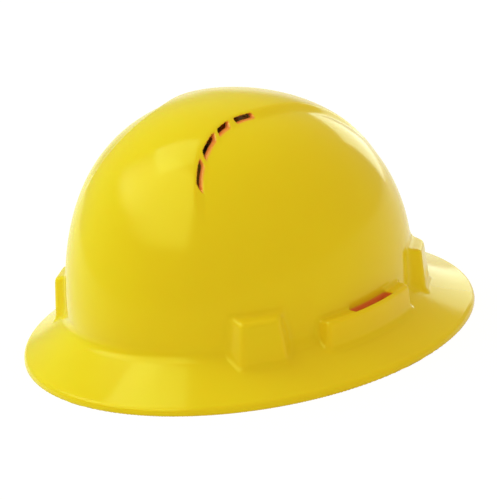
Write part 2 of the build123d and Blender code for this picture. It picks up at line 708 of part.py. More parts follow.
def key(bearing):
    """A suspension key on the wearer's left."""
    tongue_out = SOCKET_STAND - POCKET_WALL - KEY_CLEAR
    tongue_in = POCKET_INSIDE + KEY_CLEAR
    foot_top = KEY_FOOT_BOTTOM + KEY_FOOT_THICKNESS
    arm_in = -KEY_ARM_INSET - KEY_ARM_THICKNESS
    with BuildPart() as piece:
        with BuildSketch(upright_profile(bearing)):
            with BuildLine():
                Polyline(
                    (tongue_out, KEY_FOOT_BOTTOM),
                    (tongue_out, POCKET_TOP - KEY_CLEAR),
                    (tongue_in, POCKET_TOP - KEY_CLEAR),
                    (tongue_in, foot_top),
                    (-KEY_ARM_INSET, foot_top),
                    (-KEY_ARM_INSET, KEY_ARM_TOP),
                    (arm_in, KEY_ARM_TOP),
                    (arm_in, KEY_FOOT_BOTTOM),
                    close=True,
                )
            make_face()
        extrude(amount=POCKET_WIDTH / 2 - KEY_CLEAR, both=True)
        with BuildSketch(socket_plane(bearing).offset(arm_in)):
            with Locations((0, (KEY_ARM_TOP + foot_top) / 2)):
                RectangleRounded(KEY_ARM_WIDTH, KEY_ARM_TOP - foot_top, KEY_ROUND * 2)
        extrude(amount=KEY_ARM_THICKNESS)
        with BuildSketch(socket_plane(bearing).offset(arm_in)):
            with Locations((0, KEY_ARM_TOP - KEY_BAR_HEIGHT - KEY_SLOT_HEIGHT / 2)):
                SlotOverall(STRAP_WIDTH + 2 * KEY_ROUND, KEY_SLOT_HEIGHT)
        extrude(amount=KEY_ARM_THICKNESS, mode=Mode.SUBTRACT)
        stud_length = TAB_GAP + TAB_THICKNESS + TAB_GAP
        with BuildSketch(socket_plane(bearing).offset(arm_in)):
            with Locations((0, STUD_HEIGHT)):
                Circle(STUD_RADIUS)
        extrude(amount=-stud_length - STUD_HEAD_THICKNESS)
        with BuildSketch(socket_plane(bearing).offset(arm_in - stud_length)):
            with Locations((0, STUD_HEIGHT)):
                Circle(STUD_HEAD_RADIUS)
        extrude(amount=-STUD_HEAD_THICKNESS)
    return piece.part


def crown_strap(start_bearing, start_side, end_bearing, end_side, lift):
    """A crown strap from one key over the head to the opposite one, with a sewn loop at each end."""
    start, start_across = strap_end(start_bearing, start_side)
    end, end_across = strap_end(end_bearing, end_side)
    share = start.X / (start.X - end.X)
    middle = start + (end - start) * share
    along = (end - start).normalized()
    across = Vector(along.Y, -along.X, 0)
    if start_across.dot(across) < 0:
        across = across * -1
    sections = []
    for step in range(2 * STRAP_STATIONS + 1):
        lean = radians(90 * min(step, 2 * STRAP_STATIONS - step) / STRAP_STATIONS)
        foot, foot_across = (start, start_across) if step <= STRAP_STATIONS else (end, end_across)
        spread = foot - middle
        rise = (STRAP_RISE + lift) * sin(lean)
        place = middle + spread * cos(lean) + Vector(0, 0, rise)
        ahead = spread * -sin(lean) + Vector(0, 0, (STRAP_RISE + lift) * cos(lean))
        if step > STRAP_STATIONS:
            ahead = ahead * -1
        wide = foot_across * (1 - sin(lean)) + across * sin(lean)
        with BuildSketch(Plane(origin=place, x_dir=wide, z_dir=ahead)) as section:
            Rectangle(STRAP_WIDTH, STRAP_THICKNESS)
        sections.append(section.sketch)
    with BuildPart() as strap:
        loft(sections)
        for bearing, side in ((start_bearing, start_side), (end_bearing, end_side)):
            loop = strap_loop(bearing)
            add(loop if side > 0 else mirror(loop, Plane.YZ))
    return strap.part


STRAP_LOOP_HALF_DEPTH = KEY_ARM_THICKNESS / 2 + STRAP_LOOP_GAP + STRAP_THICKNESS
STRAP_LOOP_HALF_HEIGHT = KEY_BAR_HEIGHT / 2 + STRAP_LOOP_GAP + STRAP_THICKNESS
STRAP_FOOT_DEPTH = -KEY_ARM_INSET - KEY_ARM_THICKNESS / 2 - STRAP_LOOP_HALF_DEPTH + STRAP_THICKNESS / 4


def strap_end(bearing, side):
    """Where a strap's middle line leaves its key, and the level direction across the strap there."""
    x, y = crown_place(bearing)
    turn = radians(bearing)
    place = Vector(side * (x + STRAP_FOOT_DEPTH * cos(turn)), y + STRAP_FOOT_DEPTH * sin(turn), KEY_ARM_TOP)
    return place, Vector(-side * sin(turn), cos(turn), 0)


def strap_loop(bearing):
    """The loop of webbing round a key's top bar."""
    centre = (-KEY_ARM_INSET - KEY_ARM_THICKNESS / 2, KEY_ARM_TOP - KEY_BAR_HEIGHT / 2)
    with BuildPart() as loop:
        with BuildSketch(upright_profile(bearing)):
            with Locations(centre):
                RectangleRounded(2 * STRAP_LOOP_HALF_DEPTH, 2 * STRAP_LOOP_HALF_HEIGHT, STRAP_THICKNESS)
                inner_width = 2 * (STRAP_LOOP_HALF_DEPTH - STRAP_THICKNESS)
                Rectangle(inner_width, 2 * (STRAP_LOOP_HALF_HEIGHT - STRAP_THICKNESS), mode=Mode.SUBTRACT)
        extrude(amount=STRAP_WIDTH / 2 - STRAP_LOOP_NARROW, both=True)
    return loop.part


def pad(half_width, front, thickness, height, start, end, end_shares, middle_height):
    """A soft pad inside a half oval: its stations swell and draw in from end to end."""
    stations = []
    count = len(PAD_HEIGHT_SHARES) - 1
    for index, tall_share in enumerate(PAD_HEIGHT_SHARES):
        turn = radians(start + (end - start) * index / count)
        thick = thickness * end_shares[index]
        tall = height * tall_share
        outward = Vector(cos(turn) / half_width, sin(turn) / front, 0).normalized()
        rim = Vector(half_width * cos(turn), BAND_MIDDLE_Y + front * sin(turn), middle_height)
        ahead = Vector(-outward.Y, outward.X, 0)
        with BuildSketch(Plane(origin=rim - outward * (thick / 2), x_dir=outward, z_dir=ahead)) as station:
            RectangleRounded(thick, tall, thick * PAD_ROUND_SHARE)
        stations.append(station.sketch)
    with BuildPart() as cushion:
        loft(stations)
    return cushion.part


with BuildPart() as brow_pad:
    add(
        pad(
            BAND_INSIDE - PAD_GAP,
            BAND_FRONT - PAD_GAP,
            BROW_THICKNESS,
            BROW_HEIGHT,
            -90 - BROW_HALF_ANGLE,
            -90 + BROW_HALF_ANGLE,
            BROW_END_SHARES,
            (BAND_FRONT_BOTTOM + BAND_FRONT_TOP) / 2,
        )
    )
brow_pad.part.label = "brow_pad"

NAPE_RADIUS = PASSAGE_INSIDE - COVER_GAP - COVER_THICKNESS - PAD_GAP
with BuildPart() as nape_pad:
    add(
        pad(
            NAPE_RADIUS,
            NAPE_RADIUS,
            NAPE_THICKNESS,
            NAPE_HEIGHT,
            90 - NAPE_HALF_ANGLE,
            90 + NAPE_HALF_ANGLE,
            BROW_END_SHARES,
            RATCHET_HEIGHT,
        )
    )
nape_pad.part.label = "nape_pad"

keys = {}
for place, bearing in (("front", -SOCKET_BEARING), ("back", SOCKET_BEARING)):
    piece = key(bearing)
    keys[place + "_left_key"] = piece
    keys[place + "_right_key"] = mirror(piece, Plane.YZ)
for name, piece in keys.items():
    piece.label = name

# The left strap crosses under the right one
STRAP_CROSSING = STRAP_THICKNESS + STRAP_LOOP_GAP
straps = {
    "front_left_crown_strap": crown_strap(-SOCKET_BEARING, 1, SOCKET_BEARING, -1, 0),
    "front_right_crown_strap": crown_strap(-SOCKET_BEARING, -1, SOCKET_BEARING, 1, STRAP_CROSSING),
}
for name, piece in straps.items():
    piece.label = name

arms = {
    "left_nape_arm": nape_arm(ARM_INNER_RADIUS, 1),
    "right_nape_arm": nape_arm(ARM_OUTER_RADIUS, -1),
}
for name, piece in arms.items():
    piece.label = name


def arm_guide(side, arm_inside):
    """A sleeve on the end of the front band, round the band and the arm that slides inside it."""
    start, end = side * GUIDE_START_ANGLE, side * GUIDE_END_ANGLE
    band_outside = BAND_INSIDE + BAND_THICKNESS + GUIDE_CLEAR
    bottom, top = ARM_BOTTOM - GUIDE_CLEAR, ARM_TOP + GUIDE_CLEAR
    arm_outside = arm_inside + ARM_THICKNESS + GUIDE_CLEAR
    with BuildPart() as guide:
        inside = arm_inside - GUIDE_CLEAR - GUIDE_WALL
        outside = band_outside + GUIDE_WALL
        add(sector(inside, outside, start, end, bottom - GUIDE_WALL, top + GUIDE_WALL))
        fillet(guide.edges().filter_by(Axis.Z), GUIDE_WALL / 3)
        arm_way = sector(arm_inside - GUIDE_CLEAR, arm_outside, start - side, end + side, bottom, top)
        band_way = sector(BAND_INSIDE - GUIDE_CLEAR, band_outside, start - side, end + side, bottom, top)
        add([arm_way, band_way], mode=Mode.SUBTRACT)
    return guide.part


guides = {
    "left_arm_guide": arm_guide(1, ARM_INNER_RADIUS),
    "right_arm_guide": arm_guide(-1, ARM_OUTER_RADIUS),
}
for name, piece in guides.items():
    piece.label = name

HOUSING_BOTTOM = RATCHET_HEIGHT - HOUSING_HEIGHT / 2
HOUSING_TOP = RATCHET_HEIGHT + HOUSING_HEIGHT / 2
HOUSING_OUTSIDE = PASSAGE_OUTSIDE + HOUSING_WALL
SHAFT_HOLE = JOURNAL_RADIUS + JOURNAL_CLEAR

with BuildPart() as ratchet_housing:
    depth = HOUSING_OUTSIDE - PASSAGE_INSIDE
    add(sector(PASSAGE_INSIDE, HOUSING_OUTSIDE, -HOUSING_ANGLE, HOUSING_ANGLE, HOUSING_BOTTOM, HOUSING_TOP))
    fillet(ratchet_housing.edges().filter_by(lambda edge: edge.length < 2 * depth), HOUSING_WALL)
    with BuildSketch(ratchet_plane(PASSAGE_OUTSIDE + HOUSING_WALL / 2)):
        Circle(DETENT_OUTER_RADIUS)
    extrude(amount=HOUSING_WALL / 2 + DETENT_DEPTH)
    with BuildSketch(ratchet_plane(HOUSING_OUTSIDE)):
        with BuildLine():
            outline = []
            for index in range(DETENT_TEETH):
                outline.append(turned(DETENT_TIP_RADIUS, 360 * index / DETENT_TEETH))
                outline.append(turned(DETENT_VALLEY_RADIUS, 360 * (index + 0.5) / DETENT_TEETH))
            Polyline(outline, close=True)
        make_face()
    extrude(amount=DETENT_DEPTH, mode=Mode.SUBTRACT)
    way = sector(
        PASSAGE_INSIDE - OVERRUN,
        PASSAGE_OUTSIDE,
        -HOUSING_ANGLE - 1,
        HOUSING_ANGLE + 1,
        ARM_BOTTOM - ARM_CLEAR,
        ARM_TOP + ARM_CLEAR,
    )
    add(way, mode=Mode.SUBTRACT)
    with BuildSketch(ratchet_plane(PASSAGE_INSIDE)):
        Circle(SHAFT_HOLE)
    extrude(amount=OVERRUN, mode=Mode.SUBTRACT)
ratchet_housing.part.label = "ratchet_housing"

COVER_OUTSIDE = PASSAGE_INSIDE - COVER_GAP
COVER_INSIDE = COVER_OUTSIDE - COVER_THICKNESS
with BuildPart() as ratchet_cover:
    add(sector(COVER_INSIDE, COVER_OUTSIDE, -HOUSING_ANGLE, HOUSING_ANGLE, HOUSING_BOTTOM, HOUSING_TOP))
    fillet(ratchet_cover.edges().filter_by(lambda edge: edge.length < 2 * COVER_THICKNESS), HOUSING_WALL)
    with BuildSketch(ratchet_plane(COVER_INSIDE - COVER_THICKNESS)):
        Circle(SHAFT_HOLE)
    extrude(amount=OVERRUN, mode=Mode.SUBTRACT)
ratchet_cover.part.label = "ratchet_cover"

PINION_START = ARM_INNER_RADIUS - ARM_CLEAR / 2
PINION_END = PASSAGE_OUTSIDE - 2 * ARM_CLEAR + TOOTH_CLEAR
SPRING_START = HOUSING_OUTSIDE + SPRING_GAP
SPRING_TIP_PLACE = DETENT_TIP_RADIUS - SPRING_TIP_CLEAR - SPRING_TIP_RADIUS
with BuildPart() as ratchet_pinion:
    with BuildSketch(ratchet_plane(COVER_INSIDE)):
        Circle(JOURNAL_RADIUS)
    extrude(amount=SPRING_START - COVER_INSIDE)
    with BuildSketch(ratchet_plane(PINION_START)):
        with BuildLine():
            root = PITCH_RADIUS - RACK_ADDENDUM - TOOTH_CLEAR
            tip = PITCH_RADIUS + PINION_ADDENDUM
            waist = (max(root, PITCH_RADIUS * cos(radians(PRESSURE_ANGLE))) + tip) / 2
            pitch = 360 / PINION_TEETH
            for index in range(PINION_TEETH):
                middle = pitch * (index + 0.5)
                foot_angle, waist_angle, tip_angle = (flank_angle(radius) for radius in (root, waist, tip))
                ThreePointArc(
                    turned(root, middle - foot_angle),
                    turned(waist, middle - waist_angle),
                    turned(tip, middle - tip_angle),
                )
                Line(turned(tip, middle - tip_angle), turned(tip, middle + tip_angle))
                ThreePointArc(
                    turned(tip, middle + tip_angle),
                    turned(waist, middle + waist_angle),
                    turned(root, middle + foot_angle),
                )
                Line(turned(root, middle + foot_angle), turned(root, middle + pitch - foot_angle))
        make_face()
    extrude(amount=PINION_END - PINION_START)
    with BuildSketch(ratchet_plane(SPRING_START)):
        Rectangle(DRIVE_SIDE, DRIVE_SIDE)
    extrude(amount=DRIVE_LENGTH)
    with BuildSketch(ratchet_plane(COVER_INSIDE)):
        Circle(SCREW_RADIUS + SCREW_CLEAR)
    extrude(amount=KNOB_DEPTH + DRIVE_LENGTH, mode=Mode.SUBTRACT)
    with BuildSketch(ratchet_plane(COVER_INSIDE)):
        Circle(SCREW_HEAD_RADIUS + SCREW_CLEAR)
    extrude(amount=SCREW_HEAD_DEPTH, mode=Mode.SUBTRACT)
ratchet_pinion.part.label = "ratchet_pinion"

with BuildPart() as click_spring:
    with BuildSketch(ratchet_plane(SPRING_START + DRIVE_CLEAR)):
        Circle(SPRING_HUB_RADIUS)
        for turn in (0, 180):
            with BuildLine():
                bow = CenterArc((0, 0), SPRING_ARM_RADIUS, turn, SPRING_ARM_SWEEP)
                Line((0, 0), bow @ 0)
            trace(line_width=SPRING_ARM_WIDTH)
            with Locations(turned(SPRING_TIP_PLACE, turn + SPRING_ARM_SWEEP)):
                Circle(SPRING_TIP_RADIUS)
        Rectangle(DRIVE_SIDE + 2 * DRIVE_CLEAR, DRIVE_SIDE + 2 * DRIVE_CLEAR, mode=Mode.SUBTRACT)
    extrude(amount=SPRING_THICKNESS)
click_spring.part.label = "click_spring"

HUB_START = SPRING_START + SPRING_THICKNESS + 2 * DRIVE_CLEAR
KNOB_START = HOUSING_OUTSIDE + KNOB_GAP
KNOB_END = KNOB_START + KNOB_DEPTH
SCREW_END = SPRING_START + DRIVE_LENGTH + SCREW_BITE - SCREW_CLEAR
with BuildPart() as ratchet_knob:
    with BuildSketch(ratchet_plane(KNOB_START)):
        Circle(KNOB_RADIUS)
        with PolarLocations(KNOB_RADIUS + KNOB_GRIP_RADIUS - KNOB_GRIP_DEPTH, KNOB_GRIPS):
            Circle(KNOB_GRIP_RADIUS, mode=Mode.SUBTRACT)
    extrude(amount=KNOB_DEPTH)
    fillet(ratchet_knob.faces().sort_by(Axis.Y)[-1].edges(), KNOB_ROUND)
    with BuildSketch(ratchet_plane(KNOB_START)):
        Circle(KNOB_RADIUS - KNOB_SKIRT)
    extrude(amount=KNOB_DEPTH - KNOB_FACE, mode=Mode.SUBTRACT)
    with BuildSketch(ratchet_plane(HUB_START)):
        Circle(KNOB_HUB_RADIUS)
    extrude(amount=KNOB_END - KNOB_FACE / 2 - HUB_START)
    with BuildSketch(ratchet_plane(HUB_START)):
        Rectangle(DRIVE_SIDE + 2 * DRIVE_CLEAR, DRIVE_SIDE + 2 * DRIVE_CLEAR)
    extrude(amount=SPRING_START + DRIVE_LENGTH + DRIVE_CLEAR - HUB_START, mode=Mode.SUBTRACT)
    with BuildSketch(ratchet_plane(HUB_START)):
        Circle(SCREW_RADIUS)
    extrude(amount=SPRING_START + DRIVE_LENGTH + SCREW_BITE - HUB_START, mode=Mode.SUBTRACT)
ratchet_knob.part.label = "ratchet_knob"

with BuildPart() as knob_screw:
    with BuildSketch(ratchet_plane(COVER_INSIDE + SCREW_CLEAR / 2)):
        Circle(SCREW_HEAD_RADIUS)
    extrude(amount=SCREW_HEAD_DEPTH - SCREW_CLEAR / 2)
    with BuildSketch(ratchet_plane(COVER_INSIDE + SCREW_HEAD_DEPTH)):
        Circle(SCREW_RADIUS)
    extrude(amount=SCREW_END - COVER_INSIDE - SCREW_HEAD_DEPTH)
knob_screw.part.label = "knob_screw"

pieces = [shell.part, headband.part, brow_pad.part, nape_pad.part]
pieces += [ratchet_housing.part, ratchet_cover.part, ratchet_pinion.part]
pieces += [click_spring.part, ratchet_knob.part, knob_screw.part]
for group in (keys, straps, arms, guides):
    pieces += group.values()
os.makedirs("parts", exist_ok=True)
for piece in pieces:
    print(piece.label, len(piece.solids()), piece.is_valid, round(piece.volume))
    export_step(piece, "parts/" + piece.label + ".step")
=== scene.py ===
# %% [markdown]
# # A full brim hard hat
# The imported model gives every piece its place, in metres. This lesson adds what the solids leave
# out: the soft roundings of a moulded shell, woven webbing, padding and the finish of each plastic.
# The model is loaded first.

from math import cos, radians, sin

import bpy
import numpy as np
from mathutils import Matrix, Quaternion, Vector


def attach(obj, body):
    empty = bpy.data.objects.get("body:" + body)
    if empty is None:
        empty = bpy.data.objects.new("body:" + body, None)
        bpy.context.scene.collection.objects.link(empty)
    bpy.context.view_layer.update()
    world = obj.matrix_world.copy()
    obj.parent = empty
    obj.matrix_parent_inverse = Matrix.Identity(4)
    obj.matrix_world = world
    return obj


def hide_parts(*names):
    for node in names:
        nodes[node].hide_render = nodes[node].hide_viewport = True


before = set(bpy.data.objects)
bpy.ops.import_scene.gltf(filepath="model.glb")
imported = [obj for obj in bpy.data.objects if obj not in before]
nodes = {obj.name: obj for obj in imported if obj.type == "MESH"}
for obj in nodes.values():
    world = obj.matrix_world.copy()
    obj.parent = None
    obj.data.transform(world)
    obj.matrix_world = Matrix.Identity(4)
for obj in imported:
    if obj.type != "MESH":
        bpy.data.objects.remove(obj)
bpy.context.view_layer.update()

# %% [markdown]
# ## Camera
# A product photograph is taken from some way off with a long lens, so that the hat is not
# distorted. The camera stands in front of the hat's left side, a little above it. The small roll
# and the small lens shift put the hat in the frame at the tilt and the place that it has there.

# %% Camera
AZIMUTH = radians(44.6)
ELEVATION = radians(17.93)
ROLL = radians(5.36)
DISTANCE = 1.3
TARGET = Vector((0.0, -0.0031, 0.072))
LENS, SENSOR_WIDTH = 146.0, 36.0
SHIFT = (0.0198, -0.0646)

away = Vector((sin(AZIMUTH) * cos(ELEVATION), -cos(AZIMUTH) * cos(ELEVATION), sin(ELEVATION)))
camera = bpy.data.objects.new("camera", bpy.data.cameras.new("camera"))
bpy.context.scene.collection.objects.link(camera)
camera.location = TARGET + away * DISTANCE
camera.rotation_mode = "QUATERNION"
camera.rotation_quaternion = (-away).to_track_quat("-Z", "Y") @ Quaternion((0, 0, 1), -ROLL)
camera.data.lens = LENS
camera.data.sensor_width = SENSOR_WIDTH
camera.data.shift_x, camera.data.shift_y = SHIFT
bpy.context.scene.camera = camera
bpy.context.scene.view_settings.view_transform = "Standard"
print("camera at", tuple(round(value, 3) for value in camera.location))

# %% [markdown]
# ## Studio
# The hat stands on a white sweep, so the camera, and anything seen through, sees white. In a real
# studio only the sweep itself is bright, and the room in front of it is dimmer, so gloss sees the
# full white only on the side where the sweep stands. Without that, a glossy shell would look
# milky all over. Gloss also sees a large soft box, high up to the left of the camera, whose soft
# ends draw the broad highlight over the front of the crown. A lamp could make that highlight too,
# but it would also light the hat, and here light and highlight are set apart. What the
# surroundings add as light is a plain level, rosy at the horizon and straw coloured overhead.

# %% Small steps between nodes
def calculated(tree, operation, first, second):
    """One operation on two values, each a number or another node's output."""
    node = tree.nodes.new("ShaderNodeMath")
    node.operation = operation
    for socket, value in zip(node.inputs, (first, second)):
        if isinstance(value, (int, float)):
            socket.default_value = value
        else:
            tree.links.new(value, socket)
    return node.outputs[0]


def ramp_of(tree, value, ends, low=0.0, high=1.0):
    """A soft step between two values of a node's output."""
    step = tree.nodes.new("ShaderNodeMapRange")
    step.interpolation_type = "SMOOTHSTEP"
    for name, number in zip(("From Min", "From Max", "To Min", "To Max"), (*ends, low, high)):
        step.inputs[name].default_value = number
    tree.links.new(value, step.inputs["Value"])
    return step.outputs["Result"]


def mixed(tree, factor, first, second):
    """A colour between two, each a colour or another node's output."""
    mix = tree.nodes.new("ShaderNodeMix")
    mix.data_type = "RGBA"
    tree.links.new(factor, mix.inputs["Factor"])
    for socket, colour in (("A", first), ("B", second)):
        target = next(entry for entry in mix.inputs if entry.name == socket and entry.type == "RGBA")
        if isinstance(colour, tuple):
            target.default_value = (*colour, 1)
        else:
            tree.links.new(colour, target)
    return next(entry for entry in mix.outputs if entry.type == "RGBA")


def shown(tree, kind, factor, first, second):
    """Two shaders mixed by a factor, as the output of a material or of the world."""
    chooser = tree.nodes.new("ShaderNodeMixShader")
    for socket, source in zip(chooser.inputs, (factor, first, second)):
        tree.links.new(source, socket)
    output = tree.nodes.new(kind)
    tree.links.new(chooser.outputs[0], output.inputs["Surface"])


# %% Rays that see the background
def camera_or_clear(tree):
    """One for camera and transmission rays, and nought for all others."""
    path = tree.nodes.new("ShaderNodeLightPath")
    clear = calculated(tree, "MAXIMUM", path.outputs["Is Camera Ray"], path.outputs["Is Transmission Ray"])
    return path, clear


def seen_background(tree, in_gloss=1.0):
    """One for camera and transmission rays, and a share of one for glossy rays."""
    path, clear = camera_or_clear(tree)
    glossy = calculated(tree, "MULTIPLY", path.outputs["Is Glossy Ray"], in_gloss)
    return calculated(tree, "MAXIMUM", clear, glossy)


# %% World
WORLD_LIGHT, WORLD_COLOURS = 0.755, ((0.96, 0.697, 0.65), (1.02, 0.874, 0.6))
SKY_RISE = (-0.1, 0.9)
SWEEP_DROP, SWEEP_EDGE, ROOM_BRIGHTNESS = 0.27, (0.86, 0.97), 0.35
BOX_RIGHT, BOX_LEFT, BOX_BRIGHTNESS = radians(20), radians(-80), 4.8
BOX_RIGHT_EDGE, BOX_LEFT_EDGE = (-0.04, 0.12), (-0.25, 0.6)
BOX_FOOT, BOX_TOP = (0.33, 0.55), (0.9, 0.97)

world = bpy.data.worlds.new("studio")
bpy.context.scene.world = world
world.use_nodes = True
tree = world.node_tree
tree.nodes.clear()
direction = tree.nodes.new("ShaderNodeTexCoord").outputs["Generated"]


def towards(way):
    """How far a direction of view in the world goes a given way."""
    facing = tree.nodes.new("ShaderNodeVectorMath")
    facing.operation = "DOT_PRODUCT"
    facing.inputs[1].default_value = way
    tree.links.new(direction, facing.inputs[0])
    return facing.outputs["Value"]


height = towards((0, 0, 1))
plain = tree.nodes.new("ShaderNodeBackground")
plain.inputs["Strength"].default_value = WORLD_LIGHT
tree.links.new(mixed(tree, ramp_of(tree, height, SKY_RISE), *WORLD_COLOURS), plain.inputs["Color"])

# %% What the gloss and the camera see of the studio
sweep_way = Vector((-away.x, -away.y, -SWEEP_DROP * away.xy.length)).normalized()
sweep = ramp_of(tree, towards(sweep_way), SWEEP_EDGE, ROOM_BRIGHTNESS)
right_end = ramp_of(tree, towards((-cos(BOX_RIGHT), -sin(BOX_RIGHT), 0)), BOX_RIGHT_EDGE)
left_end = ramp_of(tree, towards((cos(BOX_LEFT), sin(BOX_LEFT), 0)), BOX_LEFT_EDGE)
below_top = ramp_of(tree, height, BOX_TOP, 1.0, 0.0)
foot_and_top = calculated(tree, "MULTIPLY", ramp_of(tree, height, BOX_FOOT), below_top)
ends = calculated(tree, "MULTIPLY", right_end, left_end)
box_light = ramp_of(tree, calculated(tree, "MULTIPLY", ends, foot_and_top), (0.0, 1.0), 0.0, BOX_BRIGHTNESS)
seen = tree.nodes.new("ShaderNodeMix")
tree.links.new(camera_or_clear(tree)[1], seen.inputs["Factor"])
tree.links.new(calculated(tree, "MAXIMUM", sweep, box_light), seen.inputs["A"])
seen.inputs["B"].default_value = 1.0
white = tree.nodes.new("ShaderNodeBackground")
white.inputs["Color"].default_value = (1, 1, 1, 1)
tree.links.new(seen.outputs["Result"], white.inputs["Strength"])
shown(tree, "ShaderNodeOutputWorld", seen_background(tree), plain.outputs[0], white.outputs[0])
print("the sweep stands towards", tuple(round(value, 2) for value in sweep_way))

# %% [markdown]
# ## Lamps
# Three soft lamps shape the hat. A very large one on the left gives the lemon side its light and
# is kept out of the gloss, as a cloth screen in front of it would do. A smaller one overhead
# leaves the soft glow on the forehead and on the front of the brim. A third, low behind the hat,
# makes the long streak down the shoulder of the crown. The large lamp's light is yellowish green,
# and that of the other two a little green, so a golden yellow turns to lemon where they reach it.

# %% Lamps
LAMPS = {
    "left_screen": ((-1.35, -0.36, 1.04), (1.5, 1.3), 12.4, (0.576, 1.0, 0.102), False),
    "overhead_lamp": ((-0.5, -0.31, 1.37), (0.6, 0.6), 3.54, (0.85, 1.0, 0.85), True),
    "rear_strip": ((-0.27, 1.07, 0.235), (0.4, 0.43), 1.06, (0.85, 1.0, 0.85), True),
}

for name, (place, size, power, colour, in_gloss) in LAMPS.items():
    data = bpy.data.lights.new(name, "AREA")
    data.shape = "RECTANGLE"
    data.size, data.size_y = size
    data.energy = power
    data.color = colour
    lamp = bpy.data.objects.new(name, data)
    bpy.context.scene.collection.objects.link(lamp)
    lamp.location = place
    lamp.rotation_mode = "QUATERNION"
    lamp.rotation_quaternion = (TARGET - Vector(place)).to_track_quat("-Z", "Y")
    lamp.visible_glossy = in_gloss
    print(name, "at", place, "with", power, "W")

# %% [markdown]
# ## Floor
# The floor goes on for metres on all sides, so that its edge is never in view. To the camera it
# glows nearly white by itself, and to gloss about half as much. The rest of its brightness is
# real light on it: where the hat keeps that light away, its soft shadow stays.

# %% Floor
FLOOR_REACH = 4.0
FLOOR_COLOUR = (0.9, 0.9, 0.9)
FLOOR_GLOW, FLOOR_GLOW_SHARE, FLOOR_IN_GLOSS = 1.13, 0.8, 0.55

corners = [(-1, -1), (1, -1), (1, 1), (-1, 1)]
floor_mesh = bpy.data.meshes.new("floor")
floor_mesh.from_pydata([(x * FLOOR_REACH, y * FLOOR_REACH, 0) for x, y in corners], [], [(0, 1, 2, 3)])
floor = bpy.data.objects.new("floor", floor_mesh)
bpy.context.scene.collection.objects.link(floor)
floor_white = bpy.data.materials.new("floor_white")
floor_white.use_nodes = True
tree = floor_white.node_tree
tree.nodes.clear()
surface = tree.nodes.new("ShaderNodeBsdfDiffuse")
surface.inputs["Color"].default_value = (*FLOOR_COLOUR, 1)
glow = tree.nodes.new("ShaderNodeEmission")
glow.inputs["Strength"].default_value = FLOOR_GLOW
glow_share = calculated(tree, "MULTIPLY", seen_background(tree, FLOOR_IN_GLOSS), FLOOR_GLOW_SHARE)
shown(tree, "ShaderNodeOutputMaterial", glow_share, surface.outputs[0], glow.outputs[0])
floor_mesh.materials.append(floor_white)
print("floor of", 2 * FLOOR_REACH, "m")

# %% [markdown]
# ## Finishes: small helpers
# Every finish here is a Principled shader whose colour, roughness and bump are driven by noise.
# The noise is read in object coordinates, which are metres in the frame of the model, so a grain
# of half a millimetre has a scale of two thousand. Values that are the same all over the piece
# are set on the shader itself.

# %% Helpers for finishes
def finish(name, roughness):
    """A new material, and its node tree and shader."""
    material = bpy.data.materials.new(name)
    material.use_nodes = True
    tree = material.node_tree
    shader = tree.nodes["Principled BSDF"]
    shader.inputs["Roughness"].default_value = roughness
    return material, tree, shader


def noise(tree, size, detail=2.0, stretch=(1, 1, 1)):
    """Noise with features of one size in metres, read in the frame of the model."""
    place = tree.nodes.new("ShaderNodeTexCoord")
    scaled = tree.nodes.new("ShaderNodeVectorMath")
    scaled.operation = "MULTIPLY"
    scaled.inputs[1].default_value = stretch
    tree.links.new(place.outputs["Object"], scaled.inputs[0])
    texture = tree.nodes.new("ShaderNodeTexNoise")
    texture.inputs["Scale"].default_value = 1 / size
    texture.inputs["Detail"].default_value = detail
    tree.links.new(scaled.outputs[0], texture.inputs["Vector"])
    return texture.outputs["Fac"]


def between(tree, factor, low, high, start=0.3, end=0.7):
    """A number that goes from low to high as the factor goes from start to end."""
    scale = tree.nodes.new("ShaderNodeMapRange")
    scale.inputs["From Min"].default_value = start
    scale.inputs["From Max"].default_value = end
    scale.inputs["To Min"].default_value = low
    scale.inputs["To Max"].default_value = high
    tree.links.new(factor, scale.inputs["Value"])
    return scale.outputs["Result"]


def bump(tree, shader, height, depth, before=None):
    """Bump of a height in metres, on top of an earlier normal if there is one."""
    node = tree.nodes.new("ShaderNodeBump")
    node.inputs["Distance"].default_value = depth
    node.inputs["Strength"].default_value = 1.0
    tree.links.new(height, node.inputs["Height"])
    if before is not None:
        tree.links.new(before, node.inputs["Normal"])
    tree.links.new(node.outputs["Normal"], shader.inputs["Normal"])
    return node.outputs["Normal"]


# %% [markdown]
# ## Yellow shell plastic
# Helmet shells are moulded in dense polyethylene or ABS with strong yellow pigment. The skin is
# glossy with a faint orange peel, and light goes a little way in. Light that bounces between
# yellow walls turns orange, because each bounce takes more of the green, and that is painted
# here: thin cut edges and narrow slots get an orange base colour, a painted bounce light. A value
# on the mesh, written when the shell is built, says where that painted orange goes. Because the
# mesh is thinned out, that value is a little blurred, so it only counts below the mouth of the
# side bars' slots and up in the raised panel. The gloss is tinted lemon, as the shell's highlights
# are, and only turns white at a glancing angle.

# %% Yellow shell plastic
YELLOW, DEEP_YELLOW, PAINTED_BOUNCE_ORANGE = (0.9, 0.72, 0.018), (0.88, 0.686, 0.018), (0.98, 0.31, 0.07)
GLOSS_TINT = (0.7, 1.0, 0.15, 1)
CLOUD_SIZE, HANDLING_SIZE, PEEL_SIZE, GRAIN_SIZE = 0.07, 0.012, 0.008, 0.0006
PEEL_DEPTH, GRAIN_DEPTH = 0.000004, 0.0000015
SLOT_MOUTH, PANEL_FOOT = (0.0345, 0.0358), (0.085, 0.090)

